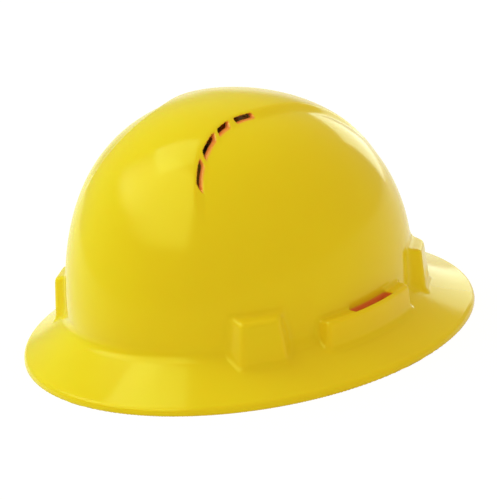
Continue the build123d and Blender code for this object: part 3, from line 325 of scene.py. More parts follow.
yellow, tree, shader = finish("yellow_shell", 0.12)
cloudy = between(tree, noise(tree, CLOUD_SIZE), 0.0, 1.0)
skin = mixed(tree, cloudy, YELLOW, DEEP_YELLOW)
walls = tree.nodes.new("ShaderNodeAttribute")
walls.attribute_name = "painted_bounce_share"
level = tree.nodes.new("ShaderNodeSeparateXYZ")
tree.links.new(tree.nodes.new("ShaderNodeTexCoord").outputs["Object"], level.inputs[0])
in_bar = between(tree, level.outputs["Z"], 1.0, 0.0, *SLOT_MOUTH)
in_panel = between(tree, level.outputs["Z"], 0.0, 1.0, *PANEL_FOOT)
in_slot = calculated(tree, "MAXIMUM", in_bar, in_panel)
# Painted bounce light: the base colour turns orange on the walls of vents and inside the bars' slots.
painted_bounce = calculated(tree, "MULTIPLY", walls.outputs["Fac"], in_slot)
tree.links.new(mixed(tree, painted_bounce, skin, PAINTED_BOUNCE_ORANGE), shader.inputs["Base Color"])
handled = between(tree, noise(tree, HANDLING_SIZE, 4.0), 0.10, 0.16)
tree.links.new(handled, shader.inputs["Roughness"])
peel = bump(tree, shader, noise(tree, PEEL_SIZE, 1.0), PEEL_DEPTH)
bump(tree, shader, noise(tree, GRAIN_SIZE), GRAIN_DEPTH, before=peel)
shader.inputs["Specular IOR Level"].default_value = 0.3
shader.inputs["Specular Tint"].default_value = GLOSS_TINT
shader.inputs["Subsurface Weight"].default_value = 0.2
shader.inputs["Subsurface Radius"].default_value = (1.0, 0.5, 0.1)
shader.inputs["Subsurface Scale"].default_value = 0.006
print("yellow:", YELLOW, "to", DEEP_YELLOW, "and", PAINTED_BOUNCE_ORANGE, "in the walls of slots")

# %% [markdown]
# ## Black and natural plastics
# Suspension parts are moulded in nylon and polyethylene. Their tools are spark eroded, which
# leaves an even pebbled grain that hides scratches, and handling polishes the grain off along the
# edges. A Bevel node rounds each hard edge in the shading, and where that rounded normal leaves
# the true one there is an edge to polish.

# %% Grained plastics
EDGE_AGREEMENT, SHADE = (0.90, 0.995), 0.8


def grained(name, colour, worn_colour, roughness, grain, depth, edge=0.0004):
    """A spark-eroded plastic: pebbled bump, cloudy colour, and smoother, paler edges."""
    material, tree, shader = finish(name, roughness)
    rounded = tree.nodes.new("ShaderNodeBevel")
    rounded.samples = 4
    rounded.inputs["Radius"].default_value = edge
    true_normal = tree.nodes.new("ShaderNodeNewGeometry")
    agree = tree.nodes.new("ShaderNodeVectorMath")
    agree.operation = "DOT_PRODUCT"
    tree.links.new(rounded.outputs["Normal"], agree.inputs[0])
    tree.links.new(true_normal.outputs["Normal"], agree.inputs[1])
    worn = between(tree, agree.outputs["Value"], 1.0, 0.0, *EDGE_AGREEMENT)
    patchy = between(tree, noise(tree, 0.006, 3.0), 0.2, 1.0)
    rubbed = calculated(tree, "MULTIPLY", worn, patchy)
    shade = tuple(value * SHADE for value in colour)
    body = mixed(tree, between(tree, noise(tree, 0.02), 0.0, 1.0), colour, shade)
    tree.links.new(mixed(tree, rubbed, body, worn_colour), shader.inputs["Base Color"])
    even = between(tree, noise(tree, grain * 6), roughness - 0.05, roughness + 0.07)
    tree.links.new(even, shader.inputs["Roughness"])
    bump(tree, shader, noise(tree, grain, 3.0), depth, before=rounded.outputs["Normal"])
    print(name, "grain", grain * 1000, "mm")
    return material


key_nylon = grained("key_nylon", (0.022, 0.022, 0.024), (0.07, 0.07, 0.075), 0.46, 0.0005, 0.00004)
band_plastic = grained("band_polyethylene", (0.03, 0.03, 0.033), (0.06, 0.06, 0.065), 0.36, 0.0009, 0.00002)
arm_plastic = grained("arm_polyethylene", (0.026, 0.026, 0.029), (0.08, 0.08, 0.085), 0.33, 0.0008, 0.00002)
box_plastic = grained("ratchet_box_abs", (0.018, 0.018, 0.02), (0.06, 0.06, 0.065), 0.5, 0.0004, 0.00005)
knob_plastic = grained("knob_abs", (0.028, 0.028, 0.03), (0.1, 0.1, 0.105), 0.42, 0.0006, 0.00005, 0.0006)

# %% [markdown]
# ## Gear plastic and screw steel
# The pinion and the click spring are acetal, left in its milky natural white, because pigment
# would weaken it. It is slippery to the touch and lets light in. The screw is turned steel: the
# tool leaves rings round its axis, so the noise is stretched along that axis and tight across it.

# %% Gear plastic
acetal, tree, shader = finish("natural_acetal", 0.3)
milk = mixed(tree, between(tree, noise(tree, 0.004), 0.0, 1.0), (0.80, 0.79, 0.74), (0.72, 0.70, 0.64))
tree.links.new(milk, shader.inputs["Base Color"])
tree.links.new(between(tree, noise(tree, 0.002, 3.0), 0.24, 0.4), shader.inputs["Roughness"])
bump(tree, shader, noise(tree, 0.0007), 0.000008)
shader.inputs["Subsurface Weight"].default_value = 0.4
shader.inputs["Subsurface Radius"].default_value = (1.0, 0.9, 0.7)
shader.inputs["Subsurface Scale"].default_value = 0.001

# %% Screw steel
steel, tree, shader = finish("turned_steel", 0.28)
rings = noise(tree, 0.0003, 2.0, (1, 6, 1))
tree.links.new(mixed(tree, rings, (0.58, 0.58, 0.57), (0.46, 0.46, 0.46)), shader.inputs["Base Color"])
tree.links.new(between(tree, rings, 0.2, 0.42), shader.inputs["Roughness"])
bump(tree, shader, rings, 0.000006)
shader.inputs["Metallic"].default_value = 1.0

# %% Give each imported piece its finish
FINISHES = {
    "key": key_nylon,
    "headband": band_plastic,
    "arm": arm_plastic,
    "guide": key_nylon,
    "housing": box_plastic,
    "cover": box_plastic,
    "knob": knob_plastic,
    "pinion": acetal,
    "spring": acetal,
    "screw": steel,
    "shell": yellow,
}


def finish_of(name):
    """The finish whose word ends a piece's name, or that the name holds."""
    words = name.split("_")
    return next((FINISHES[word] for word in reversed(words) if word in FINISHES), key_nylon)


for name, node in nodes.items():
    node.data.materials.clear()
    node.data.materials.append(finish_of(name))
    print(name, "gets", finish_of(name).name)

# %% [markdown]
# ## Fabrics
# Fabric is rough, and its fibres catch light at a glancing angle, which the sheen gives. The
# webbing's ribs and the pad's swelling are in the meshes, so the materials only add what is finer:
# filaments along the ribs, the knit of the cover, its rows of air holes, and cloudy wear. They
# read their place from values on the mesh, in millimetres along and across the cloth.

# %% Places on a cloth
def cloth_place(tree, name, scale, turn=0.0):
    """The flat place on a cloth, scaled and turned for a texture."""
    place = tree.nodes.new("ShaderNodeAttribute")
    place.attribute_name = name
    mapping = tree.nodes.new("ShaderNodeMapping")
    mapping.inputs["Scale"].default_value = scale
    mapping.inputs["Rotation"].default_value[2] = turn
    tree.links.new(place.outputs["Vector"], mapping.inputs["Vector"])
    return mapping.outputs["Vector"]


def cloth_noise(tree, name, scale, turn=0.0, detail=3.0):
    """Noise that is read on the flat cloth."""
    texture = tree.nodes.new("ShaderNodeTexNoise")
    texture.inputs["Scale"].default_value = 1.0
    texture.inputs["Detail"].default_value = detail
    tree.links.new(cloth_place(tree, name, scale, turn), texture.inputs["Vector"])
    return texture.outputs["Fac"]


def cells(tree, name, scale, turn, randomness):
    """Distance from the nearest cell's middle, read on the flat cloth."""
    texture = tree.nodes.new("ShaderNodeTexVoronoi")
    texture.inputs["Scale"].default_value = 1.0
    texture.inputs["Randomness"].default_value = randomness
    tree.links.new(cloth_place(tree, name, scale, turn), texture.inputs["Vector"])
    return texture.outputs["Distance"]


# %% Webbing and thread
strap_webbing, tree, shader = finish("strap_webbing", 0.72)
filaments = cloth_noise(tree, "webbing_place", (4.2, 0.9, 1.0))
cloudy = cloth_noise(tree, "webbing_place", (0.12, 0.05, 1.0))
yarn = mixed(tree, between(tree, filaments, 0.0, 1.0), (0.022, 0.023, 0.026), (0.062, 0.063, 0.068))
shade = between(tree, cloudy, 0.0, 0.4)
tree.links.new(mixed(tree, shade, yarn, (0.03, 0.03, 0.033)), shader.inputs["Base Color"])
tree.links.new(between(tree, filaments, 0.62, 0.85), shader.inputs["Roughness"])
bump(tree, shader, filaments, 0.00012)
shader.inputs["Sheen Weight"].default_value = 0.3
shader.inputs["Sheen Roughness"].default_value = 0.5

thread, tree, shader = finish("sewing_thread", 0.6)
twist = noise(tree, 0.0004, 2.0)
tree.links.new(mixed(tree, twist, (0.16, 0.16, 0.17), (0.34, 0.34, 0.35)), shader.inputs["Base Color"])
tree.links.new(between(tree, twist, 0.5, 0.75), shader.inputs["Roughness"])
bump(tree, shader, twist, 0.00008)
shader.inputs["Sheen Weight"].default_value = 0.2

# %% Pad cover and binding tape
HOLE_PITCH, HOLE_RADIUS_SHARE = 4.4, 0.17

pad_knit, tree, shader = finish("pad_knit", 0.8)
loops = cells(tree, "pad_place", (1.25, 1.7, 0.0), 0.0, 0.25)
holes = cells(tree, "pad_place", (1 / HOLE_PITCH, 1 / HOLE_PITCH, 0.0), radians(45), 0.0)
open_hole = between(tree, holes, 1.0, 0.0, HOLE_RADIUS_SHARE * 0.7, HOLE_RADIUS_SHARE * 1.3)
cloudy = cloth_noise(tree, "pad_place", (0.08, 0.08, 0.0))
yarn = mixed(tree, between(tree, loops, 0.0, 1.0, 0.1, 0.6), (0.085, 0.087, 0.095), (0.035, 0.036, 0.04))
yarn = mixed(tree, between(tree, cloudy, 0.0, 0.35), yarn, (0.055, 0.056, 0.06))
# The air holes are real, but their near-black colour is painted shade for the depth of each hole.
tree.links.new(mixed(tree, open_hole, yarn, (0.008, 0.008, 0.008)), shader.inputs["Base Color"])
tree.links.new(between(tree, loops, 0.72, 0.92, 0.1, 0.6), shader.inputs["Roughness"])
knit = bump(tree, shader, between(tree, loops, 1.0, 0.0, 0.0, 0.7), 0.00018)
bump(tree, shader, between(tree, open_hole, 1.0, 0.0, 0.0, 1.0), 0.0005, before=knit)
shader.inputs["Sheen Weight"].default_value = 0.25
shader.inputs["Sheen Roughness"].default_value = 0.6

binding_tape, tree, shader = finish("binding_tape", 0.7)
ribs = noise(tree, 0.0006, 2.0, (1, 1, 0.4))
tree.links.new(mixed(tree, ribs, (0.02, 0.02, 0.022), (0.05, 0.05, 0.054)), shader.inputs["Base Color"])
tree.links.new(between(tree, ribs, 0.6, 0.85), shader.inputs["Roughness"])
bump(tree, shader, ribs, 0.0002)
shader.inputs["Sheen Weight"].default_value = 0.25
print("fabrics:", strap_webbing.name, thread.name, pad_knit.name, binding_tape.name)

# %% [markdown]
# ## The shell
# A moulded shell has one wall that runs through brim and crown, and nowhere a sharp edge: the
# mould's corners are all rounded, and bosses grow out of the wall in small fillets. Bevels on the
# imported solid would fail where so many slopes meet. So the shell is written as a field: a rule
# that gives every point in space its distance to the surface. Forms are then joined with a soft
# minimum, which rounds every inner corner, and cut with a soft maximum, which rounds every edge.

# %% Soft joins and cuts
MM = 0.001


def join(first, second, rounding):
    """The nearer of two distances, with the corner between the forms filled by a rounding."""
    blend = np.clip(0.5 + 0.5 * (second - first) / rounding, 0, 1)
    return second + (first - second) * blend - rounding * blend * (1 - blend)


def cut(first, second, rounding):
    """The space that two forms share, with its edge rounded."""
    return -join(-first, -second, rounding)


# %% [markdown]
# ## The crown and its raised panel
# Seen from above, every level ring of the crown is half an ellipse in front and half behind, and
# both shrink towards the top by a power law. The raised panel is that same crown, pushed outward
# between two bevels, with more push the higher it gets, so it fades out above the forehead. The
# crest and the foot of the bevels are shares of the panel's half width, at angles from the back
# over the top to the front.
#
# The rule looks for the larger or smaller copy of the crown that runs through a point, and the
# step between that copy and the crown gives the distance. Near the middle axis, deep inside, the
# copies are too small for that, and a plain depth stands in for it.

# %% Crown
CROWN_HALF_WIDTH, CROWN_FRONT, CROWN_BACK = 104.7, 118.9, 122.3
CROWN_MIDDLE_Y, CROWN_HEIGHT, JUNCTION = -8.4, 128.9, 24.5
SIDE_POWERS, FRONT_POWERS, BACK_POWERS = (2.79, 2.16), (1.89, 2.50), (2.27, 1.84)
PANEL_ANGLES = (-74, -58, -44, -30, -16, -4, 4, 10, 16, 24, 32, 39, 45, 53, 62, 74)
CREST_SHARES = (
    *(1.34, 1.15, 0.98, 0.87, 0.82, 0.80, 0.77, 0.67),
    *(0.63, 0.66, 0.74, 0.85, 0.97, 1.11, 1.23, 1.36),
)
FOOT_SHARES = (
    *(1.42, 1.23, 1.09, 0.99, 0.95, 0.93, 0.90, 0.84),
    *(0.79, 0.80, 0.87, 0.96, 1.08, 1.18, 1.29, 1.43),
)
PANEL_HALF_WIDTH, PANEL_RISE, PANEL_DIP, PANEL_AXIS = 46.0, 2.8, -0.35, 42.0
PANEL_FADE, LIFT_ROUND, BEVEL_ROUND = (0.44, 0.82), 0.5, 0.3
SMOOTHING_REACH, SMOOTHING_SPREAD = 12, 5.0
CROWN_COPIES, NEARLY_TOP, HALVINGS = (0.82, 1.2), 0.999999, 20
DEEP_SCALE, DEEP = 0.86, -14.0

fine_angles = np.linspace(-90, 90, 361)
soft_window = np.exp(-0.5 * (np.arange(-SMOOTHING_REACH, SMOOTHING_REACH + 1) / SMOOTHING_SPREAD) ** 2)
soft_window /= soft_window.sum()


def smooth_line(shares):
    """A panel edge between its stations, with the corners at the stations smoothed away."""
    line = PANEL_HALF_WIDTH * np.interp(fine_angles, PANEL_ANGLES, shares)
    padded_line = np.pad(line, SMOOTHING_REACH, mode="edge")
    return np.convolve(padded_line, soft_window, mode="valid")


crest_line, foot_line = smooth_line(CREST_SHARES), smooth_line(FOOT_SHARES)


def crown_distance(x, y, z):
    """Distance to the crown, with the panel raised."""
    y, z = y - CROWN_MIDDLE_Y, z - JUNCTION
    ahead = y < 0
    reach = np.where(ahead, CROWN_FRONT, CROWN_BACK)
    side_rise, side_ring = SIDE_POWERS
    rise, ring = (np.where(ahead, front, back) for front, back in zip(FRONT_POWERS, BACK_POWERS))
    low, high = (np.full(len(x), copy) for copy in CROWN_COPIES)
    for step in range(HALVINGS):
        scale = (low + high) / 2
        share = np.clip(z / (scale * CROWN_HEIGHT), 0, NEARLY_TOP)
        side = (x / (scale * CROWN_HALF_WIDTH)) ** 2 * (1 - share**side_rise) ** (-2 / side_ring)
        along = (y / (scale * reach)) ** 2 * (1 - share**rise) ** (-2 / ring)
        outside = (side + along > 1) | (z > scale * CROWN_HEIGHT)
        low, high = np.where(outside, scale, low), np.where(outside, high, scale)
    scale = (low + high) / 2
    share = np.clip(z / (scale * CROWN_HEIGHT), 0, NEARLY_TOP)
    width_loss, reach_loss = 1 - share**side_rise, 1 - share**rise
    half_width = CROWN_HALF_WIDTH * width_loss ** (1 / side_ring)
    length = reach * reach_loss ** (1 / ring)
    near_x, near_y, near_z = x / scale, y / scale, z / scale
    slope_x, slope_y = near_x / half_width**2, near_y / length**2
    bend_x = (near_x / half_width) ** 2 * side_rise / side_ring * share ** (side_rise - 1) / width_loss
    bend_y = (near_y / length) ** 2 * rise / ring * share ** (rise - 1) / reach_loss
    slope_z = (bend_x + bend_y) / CROWN_HEIGHT
    size = np.sqrt(slope_x**2 + slope_y**2 + slope_z**2)
    distance = (scale - 1) * (near_x * slope_x + near_y * slope_y + near_z * slope_z) / size
    distance = np.where(scale < DEEP_SCALE, DEEP, distance)
    angle = np.degrees(np.arctan2(-y, z + JUNCTION - PANEL_AXIS))
    crest, foot = np.interp(angle, fine_angles, crest_line), np.interp(angle, fine_angles, foot_line)
    fade = np.clip((share - PANEL_FADE[0]) / (PANEL_FADE[1] - PANEL_FADE[0]), 0, 1)
    fade = fade * fade * (3 - 2 * fade)
    lift = -join(-PANEL_RISE * (PANEL_DIP + (1 - PANEL_DIP) * fade), np.zeros(len(x)), LIFT_ROUND)
    ramp = (foot - np.abs(x)) / (foot - crest)
    ramp = -join(-join(ramp, np.ones(len(x)), BEVEL_ROUND), np.zeros(len(x)), BEVEL_ROUND)
    return distance - lift * ramp * slope_z / size


# %% [markdown]
# ## The brim
# The brim falls from the crown's foot to the rim on a slightly hollow slope. Between the crown's
# ring and the rim every ring is again two half ellipses, so the rule looks for the ring that runs
# through a point and compares heights. The shallow field behind is a small push downward with a
# soft step at its edges: a sharp step would be finer than the mesh and look like a crack.

# %% Brim
BRIM_HALF_WIDTH, BRIM_FRONT, BRIM_BACK, BRIM_MIDDLE_Y = 136.5, 154.9, 161.1, -3.1
LIP_HEIGHT, FALL_POWER, WALL, RIM_ROUND = 4.2, 1.12, 2.6, 3.0
FIELD_HALF_WIDTH, FIELD_FLARE, FIELD_START, FIELD_CLEAR = 91.7, 19.7, 74.0, 6.0
FIELD_DEPTH, FIELD_STEP = 1.2, 2.2
BRIM_RINGS = (-1.4, 1.6)
SIDEWAYS_SPACING, LENGTHWISE_SPACING = BRIM_HALF_WIDTH - CROWN_HALF_WIDTH, 37.5
NO_ZERO, SLIGHT = 1e-9, 1e-6


def brim_distance(x, y, z):
    """Distance to the brim's solid, from its upper face down."""
    low, high = (np.full(len(x), ring) for ring in BRIM_RINGS)
    for step in range(HALVINGS):
        share = (low + high) / 2
        along = y - CROWN_MIDDLE_Y - (BRIM_MIDDLE_Y - CROWN_MIDDLE_Y) * share
        width = CROWN_HALF_WIDTH + (BRIM_HALF_WIDTH - CROWN_HALF_WIDTH) * share
        front = CROWN_FRONT + (BRIM_FRONT - CROWN_FRONT) * share
        back = CROWN_BACK + (BRIM_BACK - CROWN_BACK) * share
        outside = (x / width) ** 2 + (along / np.where(along < 0, front, back)) ** 2 > 1
        low, high = np.where(outside, share, low), np.where(outside, high, share)
    across, lengthwise = (x / width) ** 2, (along / np.where(along < 0, front, back)) ** 2
    total = across + lengthwise + NO_ZERO
    spacing = SIDEWAYS_SPACING * across / total + LENGTHWISE_SPACING * lengthwise / total
    gap = 1 - share
    fall = (JUNCTION - LIP_HEIGHT) * np.sign(gap) * np.abs(gap) ** FALL_POWER
    slope = (JUNCTION - LIP_HEIGHT) * FALL_POWER * (np.abs(gap) + SLIGHT) ** (FALL_POWER - 1) / spacing
    flare = FIELD_FLARE * (y - FIELD_START) / (BRIM_BACK - FIELD_START)
    edge = FIELD_HALF_WIDTH + flare - np.abs(x)
    inner = share * spacing - FIELD_CLEAR
    inside_field = np.minimum(np.minimum(edge, inner), y - FIELD_START)
    into_field = np.clip(inside_field / FIELD_STEP + 0.5, 0, 1)
    recess = FIELD_DEPTH * into_field**2 * (3 - 2 * into_field)
    top = (z - LIP_HEIGHT - fall + recess) / np.sqrt(1 + slope**2)
    side = (share - 1) * spacing
    return cut(top, side, RIM_ROUND)


# %% [markdown]
# ## Bosses, side bars and vents
# Four bosses carry the suspension, and a curved bar on each side holds accessories behind its
# outer wall. Each is a drafted block: its sides lean, so that it leaves the mould. Distances to
# leaning sides are measured level or upright and then made a little smaller, as the lean asks. The
# vents are short slots with slanted ends, low on the panel's bevels.

# %% Bosses
BOSS_BEARINGS = (34.0, -34.0)
BOSS_STAND, BOSS_SINK, BOSS_DRAFT = 7.0, 3.0, 0.07
BOSS_FOOT, BOSS_ROOT_TOP, BOSS_FACE_TOP = 12.0, 48.0, 45.0
BOSS_ROOT_HALF_WIDTHS, BOSS_FACE_HALF_WIDTHS = (23.0, 16.1), (14.8, 11.35)
BOSS_DEPTHS, FLANK_LEAN, ROOF_LEAN = (-0.5, 1.5), 0.85, 0.93
BOSS_SIDE_ROUND, BOSS_FACE_ROUND = 2.6, 2.4
POCKET_HALF_WIDTH, POCKET_INSIDE, POCKET_OUTSIDE, POCKET_TOP = 9.6, 1.0, 5.45, 43.0


def foot_at(bearing):
    """The place on the outline of the crown's foot at a bearing, and the level way out there."""
    reach = CROWN_BACK if bearing > 0 else CROWN_FRONT
    across, along = CROWN_HALF_WIDTH * cos(radians(bearing)), reach * sin(radians(bearing))
    spread = (across**2 + along**2) ** 0.5
    foot_x, foot_y = CROWN_HALF_WIDTH * across / spread, CROWN_MIDDLE_Y + reach * along / spread
    return foot_x, foot_y, cos(radians(bearing)), sin(radians(bearing))


def boss_frame(x, y, bearing):
    """How far points lie to the side of a bearing and how far out from the crown's foot."""
    foot_x, foot_y, out_x, out_y = foot_at(bearing)
    out = (x - foot_x) * out_x + (y - foot_y) * out_y
    side = -(x - foot_x) * out_y + (y - foot_y) * out_x
    return side, out


def boss(x, y, z, bearing):
    """A boss for a suspension key."""
    side, out = boss_frame(x, y, bearing)
    stand = BOSS_STAND + BOSS_DRAFT * (BOSS_FACE_TOP - z)
    depth = np.clip((out + BOSS_SINK) / (stand + BOSS_SINK), *BOSS_DEPTHS)
    top = BOSS_ROOT_TOP + (BOSS_FACE_TOP - BOSS_ROOT_TOP) * depth
    level = (z - BOSS_FOOT) / (top - BOSS_FOOT)
    root = BOSS_ROOT_HALF_WIDTHS[0] + (BOSS_ROOT_HALF_WIDTHS[1] - BOSS_ROOT_HALF_WIDTHS[0]) * level
    face = BOSS_FACE_HALF_WIDTHS[0] + (BOSS_FACE_HALF_WIDTHS[1] - BOSS_FACE_HALF_WIDTHS[0]) * level
    half_width = root + (face - root) * depth
    flank = (np.abs(side) - half_width) * FLANK_LEAN
    roof = (z - top) * ROOF_LEAN
    block = cut(cut(flank, roof, BOSS_SIDE_ROUND), out - stand, BOSS_FACE_ROUND)
    return np.maximum(block, -out - 2 * BOSS_SINK)


def pocket(x, y, z, bearing):
    """The hollow in a boss, open below."""
    side, out = boss_frame(x, y, bearing)
    middle, half = (POCKET_INSIDE + POCKET_OUTSIDE) / 2, (POCKET_OUTSIDE - POCKET_INSIDE) / 2
    walls = np.maximum(np.abs(side) - POCKET_HALF_WIDTH, np.abs(out - middle) - half)
    return np.maximum(walls, z - POCKET_TOP)


# %% Side bars
BAR_STAND, BAR_ENDS, BAR_FOOT, BAR_TOP = 9.0, (-49.0, 33.5), 14.0, 36.0
BAR_DRAFT, BAR_WALL, BAR_ROUND = 3.0, 2.4, 3.0
SLOT_ENDS, SLOT_ROUND = (-23.5, 12.5), 1.0


def ring_distance(x, y, grow):
    """Level distance to the crown's foot outline, grown outward."""
    y = y - CROWN_MIDDLE_Y
    width, reach = CROWN_HALF_WIDTH + grow, np.where(y < 0, CROWN_FRONT, CROWN_BACK) + grow
    size = np.sqrt((x / width) ** 2 + (y / reach) ** 2) + NO_ZERO
    return size * (size - 1) / (np.sqrt((x / width**2) ** 2 + (y / reach**2) ** 2) + NO_ZERO)


def bar_slot(x, y):
    """The slot behind the bar's outer wall."""
    ends = np.maximum(SLOT_ENDS[0] - y, y - SLOT_ENDS[1])
    return np.maximum(ring_distance(x, y, BAR_STAND - BAR_WALL), ends)


def side_bar(x, y, z):
    """The accessory bar of one side: a drafted block less its slot."""
    lean = BAR_DRAFT * (z - BAR_FOOT) / (BAR_TOP - BAR_FOOT)
    ends = np.maximum(BAR_ENDS[0] + lean - y, y - BAR_ENDS[1] + lean)
    block = cut(cut(ring_distance(x, y, BAR_STAND), z - BAR_TOP, BAR_ROUND), ends, BAR_ROUND)
    return cut(block, -bar_slot(x, y), SLOT_ROUND)


# %% Vents
VENT_STARTS, VENT_ENDS = (6.6, 15.9, 23.2, 34.0), (13.2, 21.2, 31.6, 42.6)
VENT_SLANTS, VENT_ROUND = (0.5, 1.5, 1.9, 1.6), 1.2
VENT_BAND, VENT_REACH, VENT_HALF_REACH = (0.19, 0.7), 3, 11
FAR_OFF = 99.0

radii = np.linspace(60, 125, 1301)


def surface_radius(x, angle):
    """Distance from the panel's axis to the crown at one side distance and one angle."""
    turn = radians(angle)
    place_y, place_z = CROWN_MIDDLE_Y - radii * sin(turn), PANEL_AXIS + radii * cos(turn)
    return float(np.interp(0, crown_distance(np.full(len(radii), float(x)), place_y, place_z), radii))


def vents(x, y, z):
    """Distance to the nearest vent's cutter on one side."""
    angle = np.degrees(np.arctan2(-(y - CROWN_MIDDLE_Y), z - PANEL_AXIS))
    radius = np.hypot(y - CROWN_MIDDLE_Y, z - PANEL_AXIS)
    low = np.interp(angle, vent_angles, vent_low)
    high = np.interp(angle, vent_angles, vent_high)
    upright = np.abs(radius - (low + high) / 2) - (high - low) / 2
    lean = np.clip((radius - low) / (high - low) - 0.5, -1, 1)
    nearest = np.full(len(x), FAR_OFF)
    for start, end, slant in zip(VENT_STARTS, VENT_ENDS, VENT_SLANTS):
        middle, half = (start + end) / 2, (end - start) / 2
        along = (np.abs(angle + slant * lean - middle) - half) * np.radians(1) * radius
        nearest = np.minimum(nearest, cut(along, upright, VENT_ROUND))
    side = np.abs(x) - np.interp(angle, fine_angles, (crest_line + foot_line) / 2)
    return np.maximum(nearest, np.abs(side + VENT_REACH) - VENT_HALF_REACH)


vent_angles = np.linspace(4, 44, 21)
crest_radii = np.array([surface_radius(np.interp(a, fine_angles, crest_line), a) for a in vent_angles])
foot_radii = np.array([surface_radius(np.interp(a, fine_angles, foot_line), a) for a in vent_angles])
vent_low = foot_radii + (crest_radii - foot_radii) * VENT_BAND[0]
vent_high = foot_radii + (crest_radii - foot_radii) * VENT_BAND[1]
print("vent heights:", np.round(vent_high - vent_low, 2)[::4])

# %% [markdown]
# ## The whole shell as one field
# The outer form joins crown and brim in a fillet. What lies deeper than one wall under it is
# hollow. Bosses and bars are joined on, pockets and vents are cut out, and the rim's plane ends
# it all. Round the vents the wall is thicker, as a moulder makes it to keep it stiff there. The
# hat is the same on both sides, so the rule only looks at the size of x. To save time, bosses and
# bars are only looked at low on the sides, and vents only high up.

# %% Shell field
CREASE, BOSS_FILLET, EDGE_ROUND = 4.5, 3.0, 1.3
SIDE_START, SIDE_TOP, PANEL_START = 55, 60, 90
VENT_WALL, VENT_WALL_REACH = 0.8, 5


def shell_distance(x, y, z):
    """Distance to the shell's surface, in millimetres: below zero inside the plastic."""
    x = np.abs(x)
    skin = join(crown_distance(x, y, z), brim_distance(x, y, z), CREASE)
    near = (x > SIDE_START) & (z < SIDE_TOP)
    place = x[near], y[near], z[near]
    bosses, hollow = np.full(len(x), FAR_OFF), skin + WALL
    bosses[near] = side_bar(*place)
    for bearing in BOSS_BEARINGS:
        bosses[near] = np.minimum(bosses[near], boss(*place, bearing))
        hollow[near] = np.minimum(hollow[near], pocket(*place, bearing))
    outer = join(skin, bosses, BOSS_FILLET)
    high = z > PANEL_START
    vent = vents(x[high], y[high], z[high])
    thicker = hollow[high] + VENT_WALL * np.clip(1 - vent / VENT_WALL_REACH, 0, 1) ** 2
    hollow[high] = join(thicker, vent, EDGE_ROUND)
    return np.maximum(cut(outer, -hollow, EDGE_ROUND), -z)


# %% [markdown]
# ## From field to mesh
# The field is read on a grid of 0.8 mm, but only near the surface, because most of the space is
# empty. One vertex goes into every cell that the surface passes through, and four cells round a
# crossed grid edge make a face. Nearly flat stretches are then thinned out, and every vertex is
# pushed onto the surface along the field's own slope, which also gives exact normals.

# %% Read the field on a grid
CELL, BLOCK, NEAR_BLOCKS = 0.8, 4, 1.2
low_corner = np.array([0.0, -160.0, -2.0])
grid_size = np.array([176, 400, 200])


def grid_points(index, step):
    """Places of grid points, in millimetres."""
    return tuple(low_corner[axis] + index[:, axis] * step for axis in range(3))


coarse_index = np.indices(grid_size // BLOCK).reshape(3, -1).T
coarse = shell_distance(*grid_points(coarse_index + 0.5, CELL * BLOCK))
field = np.repeat(np.repeat(np.repeat(coarse.reshape(grid_size // BLOCK), BLOCK, 0), BLOCK, 1), BLOCK, 2)
close = coarse_index[np.abs(coarse) < CELL * BLOCK * NEAR_BLOCKS]
offsets = np.indices((BLOCK, BLOCK, BLOCK)).reshape(3, -1).T
fine_index = (close[:, None, :] * BLOCK + offsets[None]).reshape(-1, 3)
field[tuple(fine_index.T)] = shell_distance(*grid_points(fine_index, CELL))
field = np.concatenate([field[:0:-1], field])
low_corner[0] = -(grid_size[0] - 1) * CELL
print("field points:", len(fine_index))


# %% Surface mesh from the field
def surface_mesh(field):
    """Vertices in grid units and four-sided faces of the surface where the field is zero."""
    inside = field < 0
    ends = slice(None, -1), slice(1, None)
    corners = [inside[i, j, k] for i in ends for j in ends for k in ends]
    count = sum(corner.astype(np.int8) for corner in corners)
    index = np.argwhere((count > 0) & (count < 8))
    place, crossings = np.zeros((len(index), 3)), np.zeros(len(index))
    for axis in range(3):
        step = np.eye(3, dtype=int)[axis]
        others = [np.eye(3, dtype=int)[other] for other in range(3) if other != axis]
        for first in (0, 1):
            for second in (0, 1):
                start = index + others[0] * first + others[1] * second
                value, after = field[tuple(start.T)], field[tuple((start + step).T)]
                crossed = (value < 0) != (after < 0)
                share = value[crossed] / (value[crossed] - after[crossed])
                place[crossed] += start[crossed] + share[:, None] * step
                crossings[crossed] += 1
    place /= crossings[:, None]
    number = np.full(count.shape, -1)
    number[tuple(index.T)] = np.arange(len(index))
    faces = []
    for axis in range(3):
        step = np.eye(3, dtype=int)[axis]
        first, second = (np.eye(3, dtype=int)[(axis + turn) % 3] for turn in (1, 2))
        start = np.argwhere(np.diff(inside, axis=axis))
        leaves = inside[tuple(start.T)]
        ring = [start - first - second, start - second, start, start - first]
        faces_here = np.stack([number[tuple(corner.T)] for corner in ring], axis=1)
        faces_here[~leaves] = faces_here[~leaves][:, ::-1]
        faces.append(faces_here)
    return place, np.concatenate(faces)


place, faces = surface_mesh(field)
place = low_corner + place * CELL
print("vertices:", len(place), "faces:", len(faces))


# %% Push vertices onto the surface
SLOPE_GAP, LONGEST_STEP = 0.15, 0.5


def slope_at(points):
    """Distance, unit slope and steepness of the shell's field at points."""
    value = shell_distance(*points.T)
    slope = np.empty_like(points)
    for axis in range(3):
        ahead, behind = points.copy(), points.copy()
        ahead[:, axis] += SLOPE_GAP
        behind[:, axis] -= SLOPE_GAP
        slope[:, axis] = (shell_distance(*ahead.T) - shell_distance(*behind.T)) / (2 * SLOPE_GAP)
    size = np.linalg.norm(slope, axis=1)
    return value, slope / size[:, None], size


def settle(points, rounds):
    """Points moved along the slope onto the surface."""
    for step in range(rounds):
        value, normal, size = slope_at(points)
        points = points - normal * np.clip(value / size, -LONGEST_STEP, LONGEST_STEP)[:, None]
    return points
